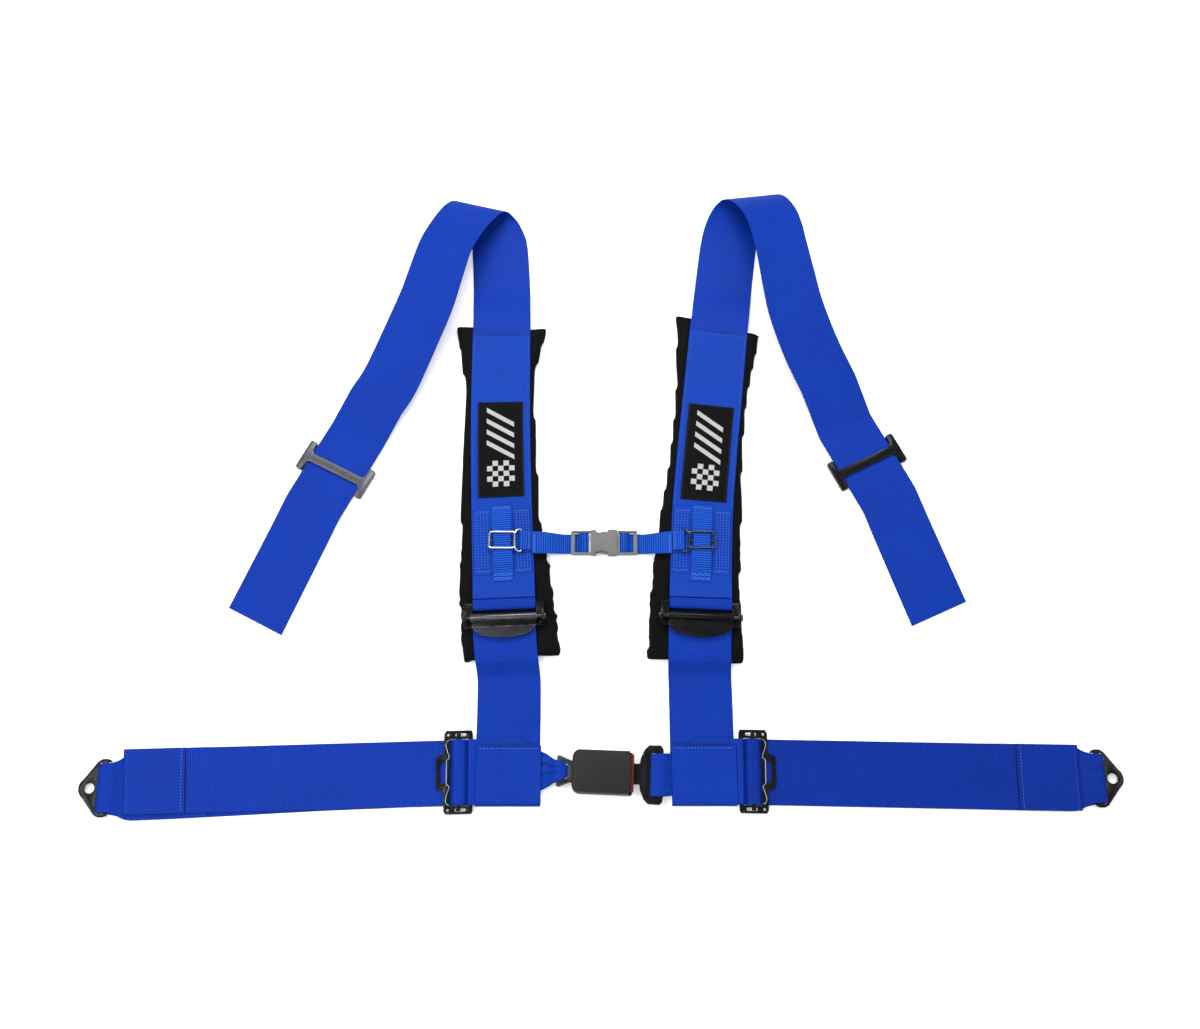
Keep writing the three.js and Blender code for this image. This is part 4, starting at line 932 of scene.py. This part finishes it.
# ---------------- wires
def tube(points, radius, corner, closed=False):
    """Vertices and faces of round wire through points, its corners rounded to a radius."""
    sides = 12
    p = [Vector(q) for q in points]
    n = len(p)
    path = []
    for i, here in enumerate(p):
        if not closed and i in (0, n - 1):
            path.append(here)
            continue
        before, after = p[i - 1] - here, p[(i + 1) % n] - here
        cut = min(corner, before.length * 0.45, after.length * 0.45)
        a, b = here + before.normalized() * cut, here + after.normalized() * cut
        for k in range(7):
            t = k / 6
            path.append(a.lerp(here, t).lerp(here.lerp(b, t), t))
    count = len(path)
    verts = []
    up = Vector((0, 0, 1)) if abs((path[1] - path[0]).normalized().z) < 0.9 else Vector((1, 0, 0))
    for i, here in enumerate(path):
        before = path[i - 1] if closed or i else here
        after = path[(i + 1) % count] if closed or i < count - 1 else here
        way = (after - before).normalized()
        side = way.cross(up).normalized()
        up = side.cross(way).normalized()
        for k in range(sides):
            a = 2 * math.pi * k / sides
            verts.append(here + side * (radius * math.cos(a)) + up * (radius * math.sin(a)))
    return verts, ring_faces(count, sides, closed)


def wire_piece(name, tubes, material, body, slot, *nodes):
    """One piece of bent wire from its tubes."""
    verts, faces = [], []
    for points, ring in tubes:
        base = len(verts)
        verts += [tuple(v) for v in points]
        faces += [tuple(base + k for k in face) for face in ring]
    return place(make_object(name, verts, faces, material), body, slot, *nodes)


def wire_slider(side):
    """Bent hoop on the ladder strap with the chest strap's ring and a cross bar."""
    x0 = line_at(side, CHEST_Y)
    sign = 1 if side == "left" else -1

    def at(d, y, z):
        return x0 + sign * d, CHEST_Y + y, z

    hoop = [at(d, y, 20.6) for d, y in ((-15.6, 10.4), (15.6, 10.4), (15.6, -10.4), (-15.6, -10.4))]
    bar = [at(-15.6, 0, 20.2), at(-14.9, 0, 17.1), at(-13.6, 0, 16.3), at(13.6, 0, 16.3),
           at(14.9, 0, 17.1), at(15.6, 0, 20.2)]
    ring = [at(15.4, 8.6, 20.5), at(18.8, 13.8, 19.8), at(22, 14.6, 18.2), at(23.5, 13.2, 18),
            at(23.5, -13.2, 18), at(22, -14.6, 18.2), at(18.8, -13.8, 19.8), at(15.4, -8.6, 20.5)]
    tubes = [tube(hoop, 1.3, 3.2, closed=True), tube(ring, 1.25, 2.0)]
    material, slot = (CHROME, "chrome_wire") if side == "left" else (NICKEL, "nickel_wire")
    body = f"chest_{side}"
    wire_piece(f"wire_slider_{side}_bent", tubes, material, body, slot, f"wire_slider_{side}")
    wire_piece(f"wire_slider_bar_{side}", [tube(bar, 0.9, 1.0)], NICKEL, body, "nickel_wire")


def adjuster_spring(side):
    """Wavy wire behind the lap adjuster's bar."""
    half = [(11.2, 37.6), (13.8, 36.2), (15.4, 32), (13.6, 25), (11.2, 18.5), (11.4, 15.6),
            (14.4, 14.4)]
    points = half + [(x, -y) for x, y in half[::-1]]
    path = [(*lap_point(side, x, y), 6.95) for x, y in points]
    wire_piece(f"lap_adjuster_spring_{side}_bent", [tube(path, 0.6, 2.6)], SPRING,
               f"{side}_half", "chrome_wire", f"lap_adjuster_spring_{side}")


# ---------------- hardware
def refined(node, material, slot, bevel=0.35, segments=2, sharp=32, reshape=None):
    """A CAD part's shape with its edges rounded over and marked as worn."""
    source = frame["nodes"][node]
    bm = bmesh.new()
    bm.from_mesh(source.data)
    if reshape:
        for vert in bm.verts:
            vert.co = reshape(vert.co)
    for layers in (bm.loops.layers.uv, bm.loops.layers.float_vector, bm.loops.layers.color):
        for layer in list(layers.values()):
            layers.remove(layer)
    bmesh.ops.remove_doubles(bm, verts=bm.verts, dist=0.002 * MM)
    bmesh.ops.dissolve_limit(bm, angle_limit=math.radians(1.0), verts=bm.verts, edges=bm.edges)
    edges = [e for e in bm.edges
             if len(e.link_faces) == 2 and e.calc_face_angle(0) > math.radians(sharp)]
    wear = bm.faces.layers.float.new("wear")
    made = bmesh.ops.bevel(bm, geom=edges, offset=bevel * MM, offset_type="OFFSET", profile=0.5,
                           segments=segments, affect="EDGES", clamp_overlap=True,
                           harden_normals=False)
    for face in made["faces"]:
        face[wear] = 1.0
    mesh = bpy.data.meshes.new(node + "_finished")
    bm.to_mesh(mesh)
    bm.free()
    mesh.materials.clear()
    mesh.materials.append(material)
    smooth_shaded(mesh, 28)
    return place(linked(node + "_finished", mesh), source["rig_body"], slot, node)


def shorter_cover(co):
    """The casing's mouth end drawn back straight, so the whole end of the button shows."""
    along, across = in_plate(co)
    stop = 32.4 - 1.2 * (across / 25) ** 2
    extra = max(0.0, along - stop) if along > 24 else 0.0
    return moved_in_plate(co, -extra, 0.0)


def in_plate(co):
    """Where a point is along and across the buckle, in millimetres."""
    x, y = co.x / MM - SHIFT.x - BUCKLE["centre"][0], co.y / MM - SHIFT.y - BUCKLE["centre"][1]
    c, s = math.cos(BUCKLE["turn"]), math.sin(BUCKLE["turn"])
    return c * x + s * y, c * y - s * x


def moved_in_plate(co, along, across):
    """A point moved along and across the buckle, in millimetres."""
    c, s = math.cos(BUCKLE["turn"]), math.sin(BUCKLE["turn"])
    return Vector((co.x + (c * along - s * across) * MM, co.y + (s * along + c * across) * MM, co.z))


def snug_anchor_slot(co):
    """The anchor plate's slot cut close round the gathered webbing."""
    along, across = in_plate(co)
    if not (-47.5 < along < -39.5 and abs(across) < 14):
        return co.copy()
    return moved_in_plate(co, -1.4 if along > -42 else 0.0, -0.32 * across)


def snug_tongue_slot(co):
    """The tongue's slot cut to the width of its webbing."""
    along, across = in_plate(co)
    inside = 55.5 < along < 64.2 and 22 < abs(across) < 27
    return moved_in_plate(co, 0.0, -math.copysign(1.3, across) if inside else 0.0)


def paint_lever_shade_and_reflection(side, obj):
    """Painted shade and reflection on the cam lever: its web under the barrel is black, and the left
    barrel is lighter steel.
    """
    cx, cy = STRAP[side]["cam"]
    lean = lean_at(side, cy)
    obj.data.materials.append(BLACK_STEEL)
    obj.data.materials.append(BARREL_PAINTED_REFLECTION if side == "left" else BLACK_STEEL)
    for face in obj.data.polygons:
        p = face.center / MM - SHIFT
        up = (p.y - cy) * math.cos(lean) - (p.x - cx) * math.sin(lean)
        # painted shade: the web in the gap under the barrel is black
        if -9.8 < up < -3.0 and p.z < 21.8:
            face.material_index = 1
        # barrel faces: painted reflection on the left, plain black on the right
        elif up > -5.2:
            face.material_index = 2


def button_ribs():
    """Grip ribs across the end of the release button."""
    rows = []
    up = np.array([0.0, 0.0, 1.0])
    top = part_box("buckle_button")[1][2] / MM
    for across in range(-18, 19, 3):
        start, end = (np.array([*in_buckle(along, across), top]) for along in (31.8, 35.0))
        rows.append((start, end, up))
    thread("buckle_button_ribs", rows, RED, "buckle_button", "button", 0.5)


def keep_node(node, material):
    """A CAD part whose shape is right: only its finish changes."""
    obj = frame["nodes"][node]
    obj.data.materials.clear()
    obj.data.materials.append(material)


def hardware():
    for side in SIDES:
        adjuster_spring(side)
        wire_slider(side)
        for node, bevel in (("lap_adjuster_frame", 0.4), ("lap_adjuster_bar", 0.5),
                            ("anchor_bracket", 0.3), ("shoulder_adjuster_frame", 0.4)):
            refined(f"{node}_{side}", BLACK_STEEL, "black_steel", bevel)
        # the left lever is painted lighter, a painted reflection; the right one is plain black steel
        lever = LEVER_PAINTED_REFLECTION if side == "left" else BLACK_STEEL
        paint_lever_shade_and_reflection(side, refined(f"cam_lever_{side}", lever, "black_steel", 0.35))
        # the left slide is painted lighter, a painted reflection; the right one is plain black steel
        slide = SLIDE_PAINTED_REFLECTION if side == "left" else BLACK_STEEL
        refined(f"tail_slide_{side}", slide, "black_steel", 0.7, 3)
        keep_node(f"cam_pin_{side}", GREY_STEEL)
        keep_node(f"cam_spring_{side}", GREY_STEEL)
    refined("buckle_cover_top", CASING, "casing", 1.9, 4, 40, shorter_cover)
    refined("buckle_cover_bottom", CASING, "casing", 0.5, 3, 40)
    refined("buckle_button", RED, "button", 0.4)
    button_ribs()
    refined("buckle_anchor_plate", GREY_STEEL, "steel", 0.3, reshape=snug_anchor_slot)
    refined("tongue_plate", BLACK_STEEL, "black_steel", 0.3, reshape=snug_tongue_slot)
    for node in ("chest_clip_socket", "chest_clip_plug", "chest_clip_prong_upper",
                 "chest_clip_prong_lower"):
        refined(node, CLIP, "clip", 0.4)
    for node in ("buckle_frame", "buckle_rivet", "buckle_latch", "buckle_ejector_spring",
                 "buckle_button_spring_upper", "buckle_button_spring_lower"):
        keep_node(node, GREY_STEEL)
    keep_node("buckle_ejector", CLIP)


# ---------------- pads
# the foam's share of the CAD pad's height and its lift, its mesh's pitch, how much wider and longer
# it is, the share of the inflation it takes along each axis and the most it moves
FOAM = dict(height=0.86, lift=0.6, voxel=4.2, spread=(1.02, 1.016), puff=(0.12, 0.12, 1.0), most=5)


def pad(side):
    """Foam pad in spacer mesh: inflated as cloth, then held flat under its strap."""
    node = f"pad_{side}"
    low, high = (Vector(corner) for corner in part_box(node))
    obj = linked(node + "_padded", frame["nodes"][node].data.copy())
    for v in obj.data.vertices:
        v.co.z = low[2] + (v.co.z - low[2]) * FOAM["height"] + FOAM["lift"] * MM
    remesh = obj.modifiers.new("remesh", "REMESH")
    remesh.mode, remesh.voxel_size = "VOXEL", FOAM["voxel"] * MM
    smooth = obj.modifiers.new("smooth", "SMOOTH")
    smooth.factor, smooth.iterations, smooth.use_z = 0.5, 8, False
    apply_modifiers(obj)
    middle = (low + high) / 2
    for v in obj.data.vertices:
        v.co.x = middle[0] + (v.co.x - middle[0]) * FOAM["spread"][0]
        v.co.y = middle[1] + (v.co.y - middle[1]) * FOAM["spread"][1]
    rest = np.array([v.co[:] for v in obj.data.vertices])
    inflate(obj)
    points = np.array([v.co[:] for v in obj.data.vertices])
    moved = (points - rest) * FOAM["puff"]
    far = np.linalg.norm(moved, axis=1)[:, None]
    points = rest + moved * np.minimum(1.0, FOAM["most"] * MM / np.maximum(far, 1e-9))
    shape_pad(side, points)
    obj.data.vertices.foreach_set("co", points.ravel())
    sub = obj.modifiers.new("round", "SUBSURF")
    sub.levels = sub.render_levels = 1
    apply_modifiers(obj)
    obj.data.materials.clear()
    obj.data.materials.append(PAD_CLOTH)
    obj.data.polygons.foreach_set("use_smooth", [True] * len(obj.data.polygons))
    place(obj, f"{side}_half", "pad", node)


def apply_modifiers(obj):
    """Makes what the modifiers show the object's own mesh."""
    graph = bpy.context.evaluated_depsgraph_get()
    mesh = bpy.data.meshes.new_from_object(obj.evaluated_get(graph))
    obj.modifiers.clear()
    obj.data = mesh


def inflate(obj):
    """A short run of cloth under inner pressure, gravity off."""
    frames = 20
    cloth = obj.modifiers.new("cloth", "CLOTH")
    cloth.settings.use_pressure = True
    cloth.settings.uniform_pressure_force = 4.0
    cloth.settings.effector_weights.gravity = 0.0
    cloth.settings.quality = 5
    cloth.point_cache.frame_end = frames
    scene = bpy.context.scene
    for number in range(1, frames + 1):
        scene.frame_set(number)
    apply_modifiers(obj)
    scene.frame_set(1)


def shape_pad(side, points):
    """Keeps the pad under its straps, on the table, and puckers its bound edges low down."""
    foot, top = points[:, 1].min() / MM - SHIFT.y, points[:, 1].max() / MM - SHIFT.y
    for i, (x, y, z) in enumerate(points):
        here = np.array([x, y, z]) / MM - np.array(SHIFT)
        centre = line_at(side, max(-190, min(here[1], 275)))
        off = abs(here[0] - centre)
        pressed = CHEST_PRESS * (1 - ease(abs(here[1] - CHEST_Y), 24, 44))
        roof = lerp(PAD_UNDER, PAD_TOP - pressed, ease(off, HALF - 1, HALF + 9))
        here[2] = min(max(here[2], 0.15), roof)
        rim = ease(off, 40, 52)
        low_down = 1 - ease(here[1], -70, -20)
        ripple = noise.noise(Vector((here[1] * 0.14, off * 0.02, 11.0 if side == "left" else 19.0)))
        flare = 0.6 * ease(here[1], top - 26, top) + ease(-here[1], 26 - foot, -foot)
        here[0] += math.copysign(1, here[0] - centre) * rim * (low_down * ripple * 3.0 + flare * 3.6)
        points[i] = (here + np.array(SHIFT)) * MM


# ---------------- stage
def area_light(name, at, size, power, aim=(0, 0, 0)):
    light = bpy.data.lights.new(name, "AREA")
    light.shape, light.size, light.size_y, light.energy = "RECTANGLE", size[0], size[1], power
    obj = linked(name, light)
    obj.location = at
    obj.rotation_euler = (Vector(aim) - Vector(at)).to_track_quat("-Z", "Y").to_euler()


def floor():
    m = Nodes("pale_floor", (0.92, 0.92, 0.92), 0.9, Specular_IOR_Level=0.1, Emission_Strength=0.25)
    m.set("Emission Color", (1, 1, 1, 1))
    bpy.ops.mesh.primitive_plane_add(size=14)
    plane = bpy.context.object
    plane.name = "floor"
    plane.data.materials.append(m.material)


def sky(low, high):
    """White all round, brighter overhead than at the horizon."""
    world = bpy.data.worlds.new("studio")
    bpy.context.scene.world = world
    world.use_nodes = True
    tree = world.node_tree
    way = tree.nodes.new("ShaderNodeSeparateXYZ")
    height = tree.nodes.new("ShaderNodeMapRange")
    height.inputs["To Min"].default_value = low
    height.inputs["To Max"].default_value = high
    tree.links.new(tree.nodes.new("ShaderNodeTexCoord").outputs["Generated"], way.inputs[0])
    tree.links.new(way.outputs["Z"], height.inputs["Value"])
    tree.links.new(height.outputs["Result"], tree.nodes["Background"].inputs["Strength"])
    tree.nodes["Background"].inputs["Color"].default_value = (1, 1, 1, 1)


def camera():
    obj = linked("camera", bpy.data.cameras.new("camera"))
    obj.data.lens, obj.data.sensor_width = 35.55, 36
    obj.location = (SHIFT + Vector((0, -475.5, 1422))) * MM
    obj.rotation_euler = (math.radians(18.5), 0, 0)
    bpy.context.scene.camera = obj


def stage():
    """Pale floor, sky, soft lamps and the camera at the photograph's angle."""
    floor()
    bpy.context.scene.view_settings.view_transform = "Standard"
    sky(0.16, 0.76)
    area_light("key", (-0.05, 1.1, 1.5), (1.3, 0.5), 28)
    area_light("front", (-0.12, -0.95, 1.0), (0.6, 0.4), 3, (-0.05, -0.2, 0))
    area_light("left", (-1.25, -0.25, 1.7), (0.7, 1.0), 20)
    area_light("right", (1.9, 0.0, 1.7), (0.8, 1.4), 14)
    camera()


# ---------------- assembly
stage()
for side in SIDES:
    lap_webbing(side)
    shoulder_lower(side)
    shoulder_upper(side)
    pad_cover(side)
    pad_label(side)
    chest_patch(side)
    ladder_strap(side)
    chest_strap(side)
    pad(side)
inboard_webbing("left", (-49.2, 0), 24, 12, 5.5, 2.4)
inboard_webbing("right", (65.5, 0), 24.6, 24.6, 24.6, 2.7)
hardware()
